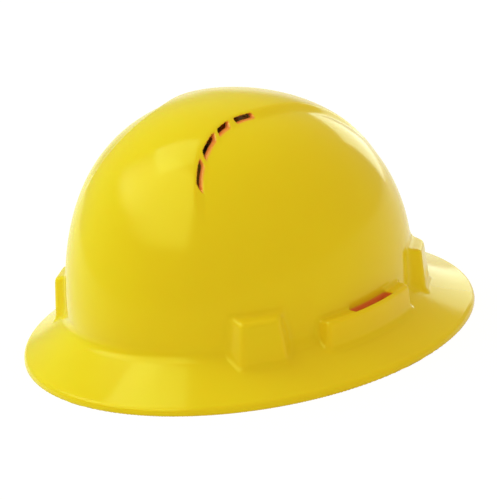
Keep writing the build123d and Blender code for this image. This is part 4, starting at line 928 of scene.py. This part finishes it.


# %% [markdown]
# ## Making the mesh
# Blender thins the mesh out to a size that a file can carry. Thinning leaves vertices a little off
# the surface, so they are settled once more. Each vertex gets its share of painted orange, a
# painted bounce light between yellow walls: full in the vents' walls and inside the bars' slots,
# and none elsewhere. Last, the field's own slope becomes the normals, which keeps the gloss smooth
# however uneven the faces are.

# %% Mesh helper
def mesh_object(name, points, faces):
    """A smooth mesh piece from points in metres and faces."""
    mesh = bpy.data.meshes.new(name)
    mesh.vertices.add(len(points))
    mesh.vertices.foreach_set("co", np.ascontiguousarray(points, dtype=np.float32).ravel())
    sizes = faces.shape[1]
    mesh.loops.add(faces.size)
    mesh.loops.foreach_set("vertex_index", faces.ravel().astype(np.int32))
    mesh.polygons.add(len(faces))
    mesh.polygons.foreach_set("loop_start", np.arange(0, faces.size, sizes, dtype=np.int32))
    mesh.update(calc_edges=True)
    mesh.polygons.foreach_set("use_smooth", np.ones(len(faces), bool))
    piece = bpy.data.objects.new(name, mesh)
    bpy.context.scene.collection.objects.link(piece)
    return piece


# %% Painted bounce light in slots and vents
BAR_ZONE, WALL_REACH = (80, 12, BAR_TOP + 12), 0.8
FADE, INNER_FADE, OUTER_MARGIN, INNER_MARGIN = 0.5, 0.4, 0.1, 0.3


def faded(depth, fade=FADE):
    """Nought up to a depth of zero, and rising to one over a fade."""
    return np.clip(depth / fade, 0, 1)


def painted_bounce_share(points):
    """Share of painted orange bounce light: one on the walls of vents and inside the bars' slots, nought
    elsewhere.
    """
    x, y, z = np.abs(points[:, 0]), points[:, 1], points[:, 2]
    value = np.zeros(len(points))
    bars = (x > BAR_ZONE[0]) & (z > BAR_ZONE[1]) & (z < BAR_ZONE[2])
    place = x[bars], y[bars], z[bars]
    skin = join(crown_distance(*place), brim_distance(*place), CREASE)
    value[bars] = faded(FADE - bar_slot(x[bars], y[bars])) * faded(skin + WALL_REACH)
    high = z > PANEL_START
    place = x[high], y[high], z[high]
    skin = crown_distance(*place)
    below_edge, above_end = -skin - OUTER_MARGIN, skin + WALL + VENT_WALL + INNER_MARGIN
    wall = faded(WALL_REACH - np.abs(vents(*place)))
    value[high] = wall * faded(below_edge) * faded(above_end, INNER_FADE)
    return value


# %% Build the shell
SHELL_FACES = 190000

place = settle(place, 1)
shell = mesh_object("moulded_shell", place * MM, faces)
thin = shell.modifiers.new("thin_out", "DECIMATE")
thin.ratio = SHELL_FACES / (2 * len(faces))
depsgraph = bpy.context.evaluated_depsgraph_get()
mesh = bpy.data.meshes.new_from_object(shell.evaluated_get(depsgraph))
shell.modifiers.clear()
shell.data = mesh
points = np.empty(len(mesh.vertices) * 3)
mesh.vertices.foreach_get("co", points)
points = settle(points.reshape(-1, 3) / MM, 2)
mesh.vertices.foreach_set("co", (points * MM).astype(np.float32).ravel())
mesh.polygons.foreach_set("use_smooth", np.ones(len(mesh.polygons), bool))
# Each vertex stores its share of painted bounce orange for the shell's material.
walls = mesh.attributes.new("painted_bounce_share", "FLOAT", "POINT")
walls.data.foreach_set("value", painted_bounce_share(points).astype(np.float32))
mesh.normals_split_custom_set_from_vertices([tuple(normal) for normal in slope_at(points)[1]])
mesh.update()
shell.data.materials.clear()
shell.data.materials.append(yellow)
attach(shell, "hat")
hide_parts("shell")
print("shell faces:", len(mesh.polygons))

# %% [markdown]
# ## Sewing thread
# A lockstitch shows on the surface as a row of short, plump threads that sink in at both ends. A
# texture would lie flat, so each stitch is a small tube that narrows towards its ends, and one
# mesh holds all the stitches of a piece. The tube's shape is a row of rings, each with its share of
# the stitch's length, its share of the thread's radius and its lift off the surface.

# %% Stitches
THREAD_RADIUS, THREAD_SIDES = 0.27, 6
THREAD_END, THREAD_SHOULDER = (0.35, -0.25), (0.95, 0.05)
THREAD_SHAPE = (
    (0.0, *THREAD_END),
    (0.2, *THREAD_SHOULDER),
    (0.5, 1.1, 0.14),
    (0.8, *THREAD_SHOULDER),
    (1.0, *THREAD_END),
)


def stitches(name, lines):
    """One mesh of thread tubes, each from a first point to a second one on a surface."""
    points, faces = [], []
    for first, second, normal in lines:
        run = second - first
        across = np.cross(run, normal)
        across /= np.linalg.norm(across)
        base = len(points)
        for share, size, lift in THREAD_SHAPE:
            middle = first + run * share + normal * lift
            for side in range(THREAD_SIDES):
                turn = 2 * np.pi * side / THREAD_SIDES
                ring = across * np.cos(turn) + normal * np.sin(turn)
                points.append(middle + ring * THREAD_RADIUS * size)
        for step in range(len(THREAD_SHAPE) - 1):
            for side in range(THREAD_SIDES):
                other = (side + 1) % THREAD_SIDES
                here, there = base + step * THREAD_SIDES, base + (step + 1) * THREAD_SIDES
                faces.append((here + side, here + other, there + other, there + side))
    piece = mesh_object(name, np.array(points) * MM, np.array(faces))
    piece.data.materials.append(thread)
    return piece


# %% [markdown]
# ## Crown straps
# Two lengths of 19 mm woven webbing cross over the head. Each end goes round the top bar of a key
# and is folded back and sewn down with a box and cross. A remesh would wipe the weave out, so the
# webbing is swept directly. Its line starts at the end of one sewn tail, goes round the key's bar
# and rises in a quarter of an arch to the crossing. A second such half, from the other end, makes
# it whole. One strap crosses over the other, so its arch is a little higher.

# %% Strap line
STRAP_WIDTH, STRAP_THICKNESS, STRAP_RISE, STRAP_CROSSING = 19.0, 1.4, 53.0, 1.7
KEY_TOP, STRAP_FOOT_OUT, ARCH_STATIONS = 66.0, -13.35, 160
LOOP_LINE = (
    *((-12.95, 62.4), (-12.2, 61.2), (-10.75, 60.95), (-9.3, 61.2), (-8.6, 62.4)),
    *((-8.5, 64.0), (-8.6, 65.6), (-9.2, 66.9), (-10.4, 68.0)),
)
TAIL_START, TAIL_LENGTH, TAIL_OUT = 4.5, 25.0, 1.62


def foot_way(bearing, side):
    """The crown's foot at a bearing, the level way out there and the level way across."""
    foot_x, foot_y, out_x, out_y = foot_at(bearing)
    foot, out = np.array([side * foot_x, foot_y, 0.0]), np.array([side * out_x, out_y, 0.0])
    return foot, out, np.array([-out[1], out[0], 0.0])


def arch(start, end, lift, leans):
    """Points of a strap's arch, from one foot at a lean of nought up to the crossing."""
    share = start[0] / (start[0] - end[0])
    middle = start + (end - start) * share
    rise = np.array([0, 0, STRAP_RISE + lift])
    return middle + np.outer(np.cos(leans), start - middle) + np.outer(np.sin(leans), rise)


def half_strap(near, far, lift):
    """Stations from a sewn tail round the key's bar and up to the crossing: places and ways across."""
    foot, out, across = foot_way(*near)
    far_foot, far_out, _ = foot_way(*far)
    start = foot + out * STRAP_FOOT_OUT + np.array([0, 0, KEY_TOP])
    end = far_foot + far_out * STRAP_FOOT_OUT + np.array([0, 0, KEY_TOP])
    leans = np.linspace(0, np.pi / 2, ARCH_STATIONS)
    rise = arch(start, end, lift, leans)
    run = np.concatenate([[0], np.cumsum(np.linalg.norm(np.diff(rise, axis=0), axis=1))])
    ahead = np.gradient(rise, axis=0)
    ahead /= np.linalg.norm(ahead, axis=1)[:, None]
    level = end - start
    level /= np.linalg.norm(level)
    over = np.array([level[1], -level[0], 0.0])
    over *= np.sign(over @ across)
    wide = np.outer(1 - np.sin(leans), across) + np.outer(np.sin(leans), over)
    wide /= np.linalg.norm(wide, axis=1)[:, None]
    away_from_head = np.cross(wide, ahead)
    away_from_head *= np.sign(away_from_head @ out)[:, None]
    tail = (run > TAIL_START) & (run < TAIL_LENGTH)
    tail_line = (rise + away_from_head * TAIL_OUT)[tail][::-1]
    loop = [foot + out * reach + np.array([0, 0, height]) for reach, height in LOOP_LINE[::-1]]
    line = np.concatenate([tail_line, loop, rise])
    ways = np.concatenate([wide[tail][::-1], np.tile(across, (len(loop), 1)), wide])
    return line, ways, run


# %% [markdown]
# ## Woven webbing
# Webbing is swept along its line: at every station there is a flat ring of points, placed by the
# way across and the way out of the webbing there. The weave is a herringbone: short slanted ribs
# that turn over at each band, so the ring's points rise and fall by a tenth of a millimetre. The
# two edges, the selvages, are smooth and a little thinner.

# %% Even stations along a line
STATION_STEP, LINE_SMOOTHINGS = 0.62, 3


def even_line(line, ways):
    """The same line with stations at one even step, smoothed a little."""
    length = np.concatenate([[0], np.cumsum(np.linalg.norm(np.diff(line, axis=0), axis=1))])
    wanted = np.linspace(0, length[-1], int(length[-1] / STATION_STEP))
    line = np.stack([np.interp(wanted, length, line[:, axis]) for axis in range(3)], axis=1)
    ways = np.stack([np.interp(wanted, length, ways[:, axis]) for axis in range(3)], axis=1)
    for step in range(LINE_SMOOTHINGS):
        line[1:-1] = (line[:-2] + 2 * line[1:-1] + line[2:]) / 4
    return line, ways, wanted


def frames(line, ways):
    """Unit ways across and out of the webbing at every station."""
    ahead = np.gradient(line, axis=0)
    ahead /= np.linalg.norm(ahead, axis=1)[:, None]
    across = ways - ahead * np.sum(ways * ahead, axis=1)[:, None]
    across /= np.linalg.norm(across, axis=1)[:, None]
    return across, np.cross(across, ahead)


# %% Sweep webbing along its line
RIB_ACROSS, RIB_ALONG, BAND, RIB_HEIGHT = 2.1, 1.9, 4.75, 0.10
WEAVE_COLUMNS, SELVAGE_THINNING, SELVAGE_BULGE = 41, 0.55, 0.1


def herringbone(across, along):
    """Height of the weave at places across and along the webbing."""
    slant = np.abs((across / BAND + 2) % 2 - 1) * BAND
    return RIB_HEIGHT * np.cos(2 * np.pi * (along / RIB_ALONG + slant / RIB_ACROSS))


def webbing(name, line, ways):
    """A strap of woven webbing swept along a line."""
    line, ways, length = even_line(line, ways)
    across, out = frames(line, ways)
    columns = np.linspace(-0.5, 0.5, WEAVE_COLUMNS)[1:-1] * STRAP_WIDTH
    half, edge = STRAP_THICKNESS / 2 - RIB_HEIGHT, STRAP_WIDTH / 2
    thin = half * SELVAGE_THINNING
    selvage = [(edge, thin, 0), (edge + SELVAGE_BULGE, 0.0, 0), (edge, -thin, 0)]
    ring = [(place, half, 1) for place in columns] + selvage
    ring += [(place, -half, -1) for place in columns[::-1]]
    ring += [(-place, -height, 0) for place, height, _ in selvage]
    place, height, face = (np.array(values) for values in zip(*ring))
    relief = herringbone(place[None], length[:, None]) * face[None]
    points = (
        line[:, None]
        + across[:, None] * place[None, :, None]
        + out[:, None] * (height[None] + relief)[:, :, None]
    )
    count = len(ring)
    index = np.arange(len(line) * count).reshape(len(line), count)
    turned = np.roll(index, -1, axis=1)
    faces = np.stack([index[:-1], turned[:-1], turned[1:], index[1:]], axis=2).reshape(-1, 4)
    caps = []
    for row in (index[0], index[-1][::-1]):
        for step in range(count // 2 - 1):
            caps.append((row[step], row[step + 1], row[count - 2 - step], row[count - 1 - step]))
    faces = np.concatenate([faces, np.array(caps)])
    piece = mesh_object(name, points.reshape(-1, 3) * MM, faces)
    woven = piece.data.attributes.new("webbing_place", "FLOAT_VECTOR", "POINT")
    places = np.stack(np.broadcast_arrays(place[None], length[:, None], face[None]), axis=2)
    woven.data.foreach_set("vector", places.reshape(-1, 3).astype(np.float32).ravel())
    piece.data.materials.append(strap_webbing)
    print(name, "is", round(float(length[-1]), 1), "mm long,", len(points) * count, "points")
    return piece


# %% Box-and-cross sewing
BOX_START, BOX_LENGTH, BOX_HALF_WIDTH = 8.0, 14.0, 6.6
FIRST_STITCH, STITCH_STEP, STITCH_LENGTH = 0.3, 2.5, 2.0
BOX_CORNERS = ((0, -1), (0, 1), (1, 1), (1, -1), (0, -1), (1, 1), (0, 1), (1, -1))


def box_and_cross(line, ways, run, lift, away):
    """Stitch lines of a sewn box with a cross, on the webbing over a foot."""
    across, _ = frames(line, ways)
    lines = []
    corners = [np.array([BOX_START + far * BOX_LENGTH, side * BOX_HALF_WIDTH]) for far, side in BOX_CORNERS]
    for first, second in zip(corners[:-1], corners[1:]):
        length = np.linalg.norm(second - first)
        way = (second - first) / length
        for start in np.arange(FIRST_STITCH, length - STITCH_LENGTH, STITCH_STEP):
            ends = []
            for place in (first + way * start, first + way * (start + STITCH_LENGTH)):
                middle = np.array([np.interp(place[0], run, line[:, axis]) for axis in range(3)])
                wide = np.array([np.interp(place[0], run, across[:, axis]) for axis in range(3)])
                normal = np.array([np.interp(place[0], run, away[:, axis]) for axis in range(3)])
                ends.append(middle + wide * place[1] + normal * lift)
            lines.append((ends[0], ends[1], normal * np.sign(lift)))
    return lines


# %% Make the two crown straps
STRAPS = {
    "front_left_crown_strap": ((-34.0, 1), (34.0, -1), 0.0),
    "front_right_crown_strap": ((-34.0, -1), (34.0, 1), STRAP_CROSSING),
}

for name, (near, far, lift) in STRAPS.items():
    front_line, front_ways, front_run = half_strap(near, far, lift)
    back_line, back_ways, back_run = half_strap(far, near, lift)
    back_ways = back_ways * np.sign(front_ways[-1] @ back_ways[-1])
    whole = np.concatenate([front_line, back_line[::-1][1:]])
    strap = webbing(name + "_webbing", whole, np.concatenate([front_ways, back_ways[::-1][1:]]))
    lines = []
    for line, ways, run in ((front_line, front_ways, front_run), (back_line, back_ways, back_run)):
        rise, wide = line[-len(run) :], ways[-len(run) :]
        _, away = frames(rise, wide)
        centre = np.array([0.0, CROWN_MIDDLE_Y, KEY_TOP])
        away *= np.sign(np.sum(away * (rise - centre), axis=1).sum())
        lines += box_and_cross(rise, wide, run, TAIL_OUT + STRAP_THICKNESS / 2, away)
        lines += box_and_cross(rise, wide, run, -STRAP_THICKNESS / 2, away)
    sewing = stitches(name + "_sewing", lines)
    for piece in (strap, sewing):
        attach(piece, "hat")
    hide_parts(name)
    print(name, "has", len(lines), "stitches")

# %% [markdown]
# ## Brow pad and nape pad
# A pad is a strip of foam between two layers of knitted cover, bound with a tape round its edge
# and quilted by a few upright seams that keep the foam in place. The back lies on the band and
# stays flat. The front swells between the seams. The cover is laid out as one even grid of
# squares, which stays even under the cloth simulation, so no remesh is needed, and the seams are
# simply the lines of the grid that the simulation may not move.

# %% Pad outline
BAND_MIDDLE, PAD_GRID, OUTLINE_SAMPLES = 2.0, 1.9, 400
PAD_END_SHARES = (0.45, 0.80, 0.95, 1, 1, 1, 0.95, 0.80, 0.45)
PAD_HEIGHT_SHARES = (0.72, 0.93, 1, 1, 1, 1, 1, 0.93, 0.72)


def pad_line(half_width, front, start, end):
    """Even stations along a pad: place on its outer face, outward way, and length along it."""
    shares = np.linspace(0, 1, OUTLINE_SAMPLES)
    turns = np.radians(start + (end - start) * shares)
    rim = np.stack([half_width * np.cos(turns), BAND_MIDDLE + front * np.sin(turns)], axis=1)
    lengths = np.concatenate([[0], np.cumsum(np.linalg.norm(np.diff(rim, axis=0), axis=1))])
    count = int(round(lengths[-1] / PAD_GRID))
    wanted = np.linspace(0, lengths[-1], count + 1)
    shares = np.interp(wanted, lengths, shares)
    turns = np.radians(start + (end - start) * shares)
    rim = np.stack([half_width * np.cos(turns), BAND_MIDDLE + front * np.sin(turns)], axis=1)
    outward = np.stack([np.cos(turns) / half_width, np.sin(turns) / front], axis=1)
    outward /= np.linalg.norm(outward, axis=1)[:, None]
    return rim, outward, wanted, shares


# %% Pad cover
PAD_THICKNESS, PAD_START_SHARE, HEM_WIDTH, HEM_OUT = 5.0, 0.66, 3.4, 0.9
CROWN_SPREAD, SEAM_DIP, SEAM_SPREAD, SEAM_HOLD, BACK_OUT = 9, 0.42, 2.2, 0.9, 0.1


def pad_cover(half_width, front, start, end, height, middle, seam_lengths):
    """The cover before it swells: vertices, faces, pinned weights, flat places and inward ways."""
    rim, outward, lengths, shares = pad_line(half_width, front, start, end)
    stations = np.linspace(0, 1, len(PAD_END_SHARES))
    thick = PAD_THICKNESS * np.interp(shares, stations, PAD_END_SHARES)
    tall = height * np.interp(shares, stations, PAD_HEIGHT_SHARES)
    rows = int(round(height / PAD_GRID))
    level = np.linspace(-0.5, 0.5, rows + 1)
    along, up = np.meshgrid(np.arange(len(lengths)), np.arange(rows + 1), indexing="ij")
    flat = np.stack([lengths[along], level[up] * tall[along]], axis=2)
    to_edge = np.minimum(
        np.minimum(lengths[along], lengths[-1] - lengths[along]),
        tall[along] / 2 - np.abs(flat[:, :, 1]),
    )
    to_seam = np.min([np.abs(lengths[along] - seam) for seam in seam_lengths], axis=0)
    crown = np.sqrt(np.clip((to_edge - HEM_WIDTH / 2) / CROWN_SPREAD, 0, 1))
    dip = 1 - SEAM_DIP * np.exp(-((to_seam / SEAM_SPREAD) ** 2))
    depth = HEM_OUT + (thick[along] * PAD_START_SHARE - HEM_OUT) * crown * dip
    layers = []
    for offset in (depth, np.full(depth.shape, BACK_OUT)):
        points = np.empty((*along.shape, 3))
        points[:, :, :2] = rim[along] - outward[along] * offset[:, :, None]
        points[:, :, 2] = middle + flat[:, :, 1]
        layers.append(points)
    edge = (along == 0) | (along == len(lengths) - 1) | (up == 0) | (up == rows)
    number = np.arange(along.size).reshape(along.shape)
    back_number = number + along.size
    back_number[edge] = number[edge]
    points = np.concatenate([layers[0].reshape(-1, 3), layers[1].reshape(-1, 3)])
    front_faces = np.stack([number[:-1, :-1], number[:-1, 1:], number[1:, 1:], number[1:, :-1]], axis=2)
    back_faces = np.stack(
        [back_number[:-1, :-1], back_number[1:, :-1], back_number[1:, 1:], back_number[:-1, 1:]], axis=2
    )
    faces = np.concatenate([front_faces.reshape(-1, 4), back_faces.reshape(-1, 4)])
    free = (to_edge > HEM_WIDTH) & (to_seam > SEAM_HOLD)
    pinned = np.concatenate([np.where(free, 0.0, 1.0).ravel(), np.ones(along.size)])
    inward = np.concatenate([-outward[along].reshape(-1, 2)] * 2)
    return points, faces, pinned, np.concatenate([flat.reshape(-1, 2)] * 2), inward, along.shape


# %% [markdown]
# ## Swelling a pad
# Foam pushes its cover out evenly, which is what the Cloth modifier does under a little pressure.
# Blender's cloth is tuned for pieces about a metre across, so the pad is simulated at ten times
# its size. The simulation only has to give the shape of the swelling: how far a point moves is
# then capped, and no point moves back into the band.

# %% Swell a cover
CLOTH_SCALE, SWELL_CAP, SWELL_FRAMES = 10.0, 1.7, 20


def swell(points, faces, pinned, inward):
    """The cover after a short cloth simulation under pressure, at ten times its size."""
    model = mesh_object("cover_in_the_press", points * MM * CLOTH_SCALE, faces)
    group = model.vertex_groups.new(name="seams")
    group.add(np.flatnonzero(pinned).tolist(), 1.0, "REPLACE")
    cloth = model.modifiers.new("cloth", "CLOTH")
    settings = cloth.settings
    settings.quality = 6
    settings.mass = 0.1
    settings.tension_stiffness = settings.compression_stiffness = 8
    settings.shear_stiffness = 4
    settings.bending_stiffness = 0.3
    settings.vertex_group_mass = "seams"
    settings.use_pressure = True
    settings.uniform_pressure_force = 4
    settings.shrink_min = -0.06
    settings.effector_weights.gravity = 0
    cloth.point_cache.frame_start, cloth.point_cache.frame_end = 1, SWELL_FRAMES
    for number in range(1, SWELL_FRAMES + 1):
        bpy.context.scene.frame_set(number)
    depsgraph = bpy.context.evaluated_depsgraph_get()
    result = bpy.data.meshes.new_from_object(model.evaluated_get(depsgraph))
    swollen = np.empty(len(points) * 3)
    result.vertices.foreach_get("co", swollen)
    bpy.data.objects.remove(model)
    bpy.context.scene.frame_set(1)
    move = swollen.reshape(-1, 3) / (MM * CLOTH_SCALE) - points
    length = np.linalg.norm(move, axis=1)
    print("swells by up to", round(float(length.max()), 2), "mm")
    move *= (SWELL_CAP * np.tanh(length / SWELL_CAP) / np.maximum(length, SLIGHT))[:, None]
    outward_part = np.minimum(move[:, 0] * inward[:, 0] + move[:, 1] * inward[:, 1], 0)
    move[:, :2] -= inward * outward_part[:, None]
    return points + move


# %% Finish a cover
def made_pad(name, points, faces, flat):
    """A finished cover as an object, one subdivision finer, without loose vertices."""
    used = np.unique(faces)
    number = np.full(len(points), -1)
    number[used] = np.arange(len(used))
    piece = mesh_object(name, points[used] * MM, number[faces])
    place = piece.data.attributes.new("pad_place", "FLOAT_VECTOR", "POINT")
    layout = np.concatenate([flat[used], (used < len(points) // 2)[:, None]], axis=1)
    place.data.foreach_set("vector", layout.astype(np.float32).ravel())
    finer = piece.modifiers.new("finer", "SUBSURF")
    finer.levels = finer.render_levels = 1
    depsgraph = bpy.context.evaluated_depsgraph_get()
    mesh = bpy.data.meshes.new_from_object(piece.evaluated_get(depsgraph))
    piece.modifiers.clear()
    piece.data = mesh
    piece.data.materials.append(pad_knit)
    return piece


def surface_at(grid, lengths, along, up):
    """Point and inward normal on a pad's front at one length and one share of the height."""
    row = (up + 0.5) * (grid.shape[1] - 1)
    column = np.interp(along, lengths, np.arange(len(lengths)))
    i, j = min(int(column), grid.shape[0] - 2), min(int(row), grid.shape[1] - 2)
    a, b = column - i, row - j
    corners = grid[i, j], grid[i + 1, j], grid[i, j + 1], grid[i + 1, j + 1]
    point = (corners[0] * (1 - a) + corners[1] * a) * (1 - b) + (corners[2] * (1 - a) + corners[3] * a) * b
    normal = np.cross(corners[2] - corners[0], corners[1] - corners[0])
    return point, normal / np.linalg.norm(normal)


# %% [markdown]
# ## Binding tape and seams
# The raw edge of the cover is closed by a narrow tape that is folded over it and stitched through.
# It could be a bevelled curve, but a flat ring of points, carried along the edge, keeps its wide
# side against the cover at every corner. A flattened circle gives the fold its rounded section.

# %% Binding tape
BINDING_HALF_WIDTH, BINDING_HALF_THICKNESS = 1.7, 0.62
BINDING_SIDES, BINDING_SQUARENESS, BINDING_INSET = 12, 0.6, 0.7


def flattened(wave):
    """A sine or cosine made squarer."""
    return np.sign(wave) * np.abs(wave) ** BINDING_SQUARENESS


def binding(name, ring, inward_ways, normals):
    """A tape folded over the pad's edge: a flat ring that follows the edge all round."""
    turns = np.linspace(0, 2 * np.pi, BINDING_SIDES, endpoint=False)
    wide = flattened(np.cos(turns)) * BINDING_HALF_WIDTH
    thick = flattened(np.sin(turns)) * BINDING_HALF_THICKNESS
    points = (
        (ring + inward_ways * BINDING_HALF_WIDTH * BINDING_INSET)[:, None]
        + inward_ways[:, None] * wide[None, :, None]
        + normals[:, None] * thick[None, :, None]
    )
    index = np.arange(len(ring) * BINDING_SIDES).reshape(len(ring), BINDING_SIDES)
    after = np.roll(index, -1, axis=0)
    faces = np.stack([index, np.roll(index, -1, axis=1), np.roll(after, -1, axis=1), after], axis=2)
    piece = mesh_object(name, points.reshape(-1, 3) * MM, faces.reshape(-1, 4))
    piece.data.materials.append(binding_tape)
    return piece


# %% One pad
HEM_STITCH_INSET, HEM_STITCH_HALF, FAR_FROM_END = 2.0, 0.62, 4
SEAM_STITCH_STEP, SEAM_START, SEAM_END = 3.2, 0.14, 0.1


def soft_pad(name, outline, seam_lengths):
    """One pad: its cover, binding and stitches, riding where its CAD solid was."""
    points, faces, pinned, flat, inward, shape = pad_cover(*outline, seam_lengths)
    points = swell(points, faces, pinned, inward)
    cover = made_pad(name + "_cover", points, faces, flat)
    grid = points[: shape[0] * shape[1]].reshape(*shape, 3)
    lengths = flat[: shape[0] * shape[1], 0].reshape(shape)[:, 0]
    height = 2 * flat[:, 1].max()
    edge = [(i, 0) for i in range(shape[0])]
    edge += [(shape[0] - 1, j) for j in range(1, shape[1])]
    edge += [(i, shape[1] - 1) for i in range(shape[0] - 2, -1, -1)]
    edge += [(0, j) for j in range(shape[1] - 2, 0, -1)]
    ring = np.array([grid[i, j] for i, j in edge])
    ahead = np.roll(ring, -1, axis=0) - np.roll(ring, 1, axis=0)
    ahead /= np.linalg.norm(ahead, axis=1)[:, None]
    facing = np.array([[*inward[i * shape[1] + j], 0.0] for i, j in edge])
    inside = np.cross(facing, ahead)
    towards_middle = np.clip([i for i, _ in edge], FAR_FROM_END, shape[0] - 1 - FAR_FROM_END)
    middle = grid[towards_middle, shape[1] // 2]
    inside *= np.sign(np.sum(inside * (middle - ring), axis=1))[:, None]
    tape = binding(name + "_binding", ring, inside, facing)
    lines = []
    for place, inward_way, normal, way in zip(ring, inside, facing, ahead):
        start = place + inward_way * HEM_STITCH_INSET + normal * BINDING_HALF_THICKNESS
        lines.append((start - way * HEM_STITCH_HALF, start + way * HEM_STITCH_HALF, normal))
    for seam in seam_lengths:
        for share in np.arange(-0.5 + SEAM_START, 0.5 - SEAM_END, SEAM_STITCH_STEP / height):
            first, normal = surface_at(grid, lengths, seam, share)
            second, _ = surface_at(grid, lengths, seam, share + STITCH_LENGTH / height)
            lines.append((first, second, normal))
    sewing = stitches(name + "_stitches", lines)
    for piece in (cover, tape, sewing):
        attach(piece, "hat")
    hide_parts(name)
    print(name, "is", round(float(lengths[-1]), 1), "mm long with", len(lines), "stitches")


# %% Brow pad and nape pad
BROW_OUTLINE, BROW_SEAMS = (82.7, 105.1, -154.0, -26.0, 36.0, 22.0), (40.9, 70.9, 100.9, 130.9, 160.9)
NAPE_OUTLINE, NAPE_SEAMS = (76.35, 76.35, 59.0, 121.0, 34.0, 22.0), (27.5, 55.1)

soft_pad("brow_pad", BROW_OUTLINE, BROW_SEAMS)
soft_pad("nape_pad", NAPE_OUTLINE, NAPE_SEAMS)
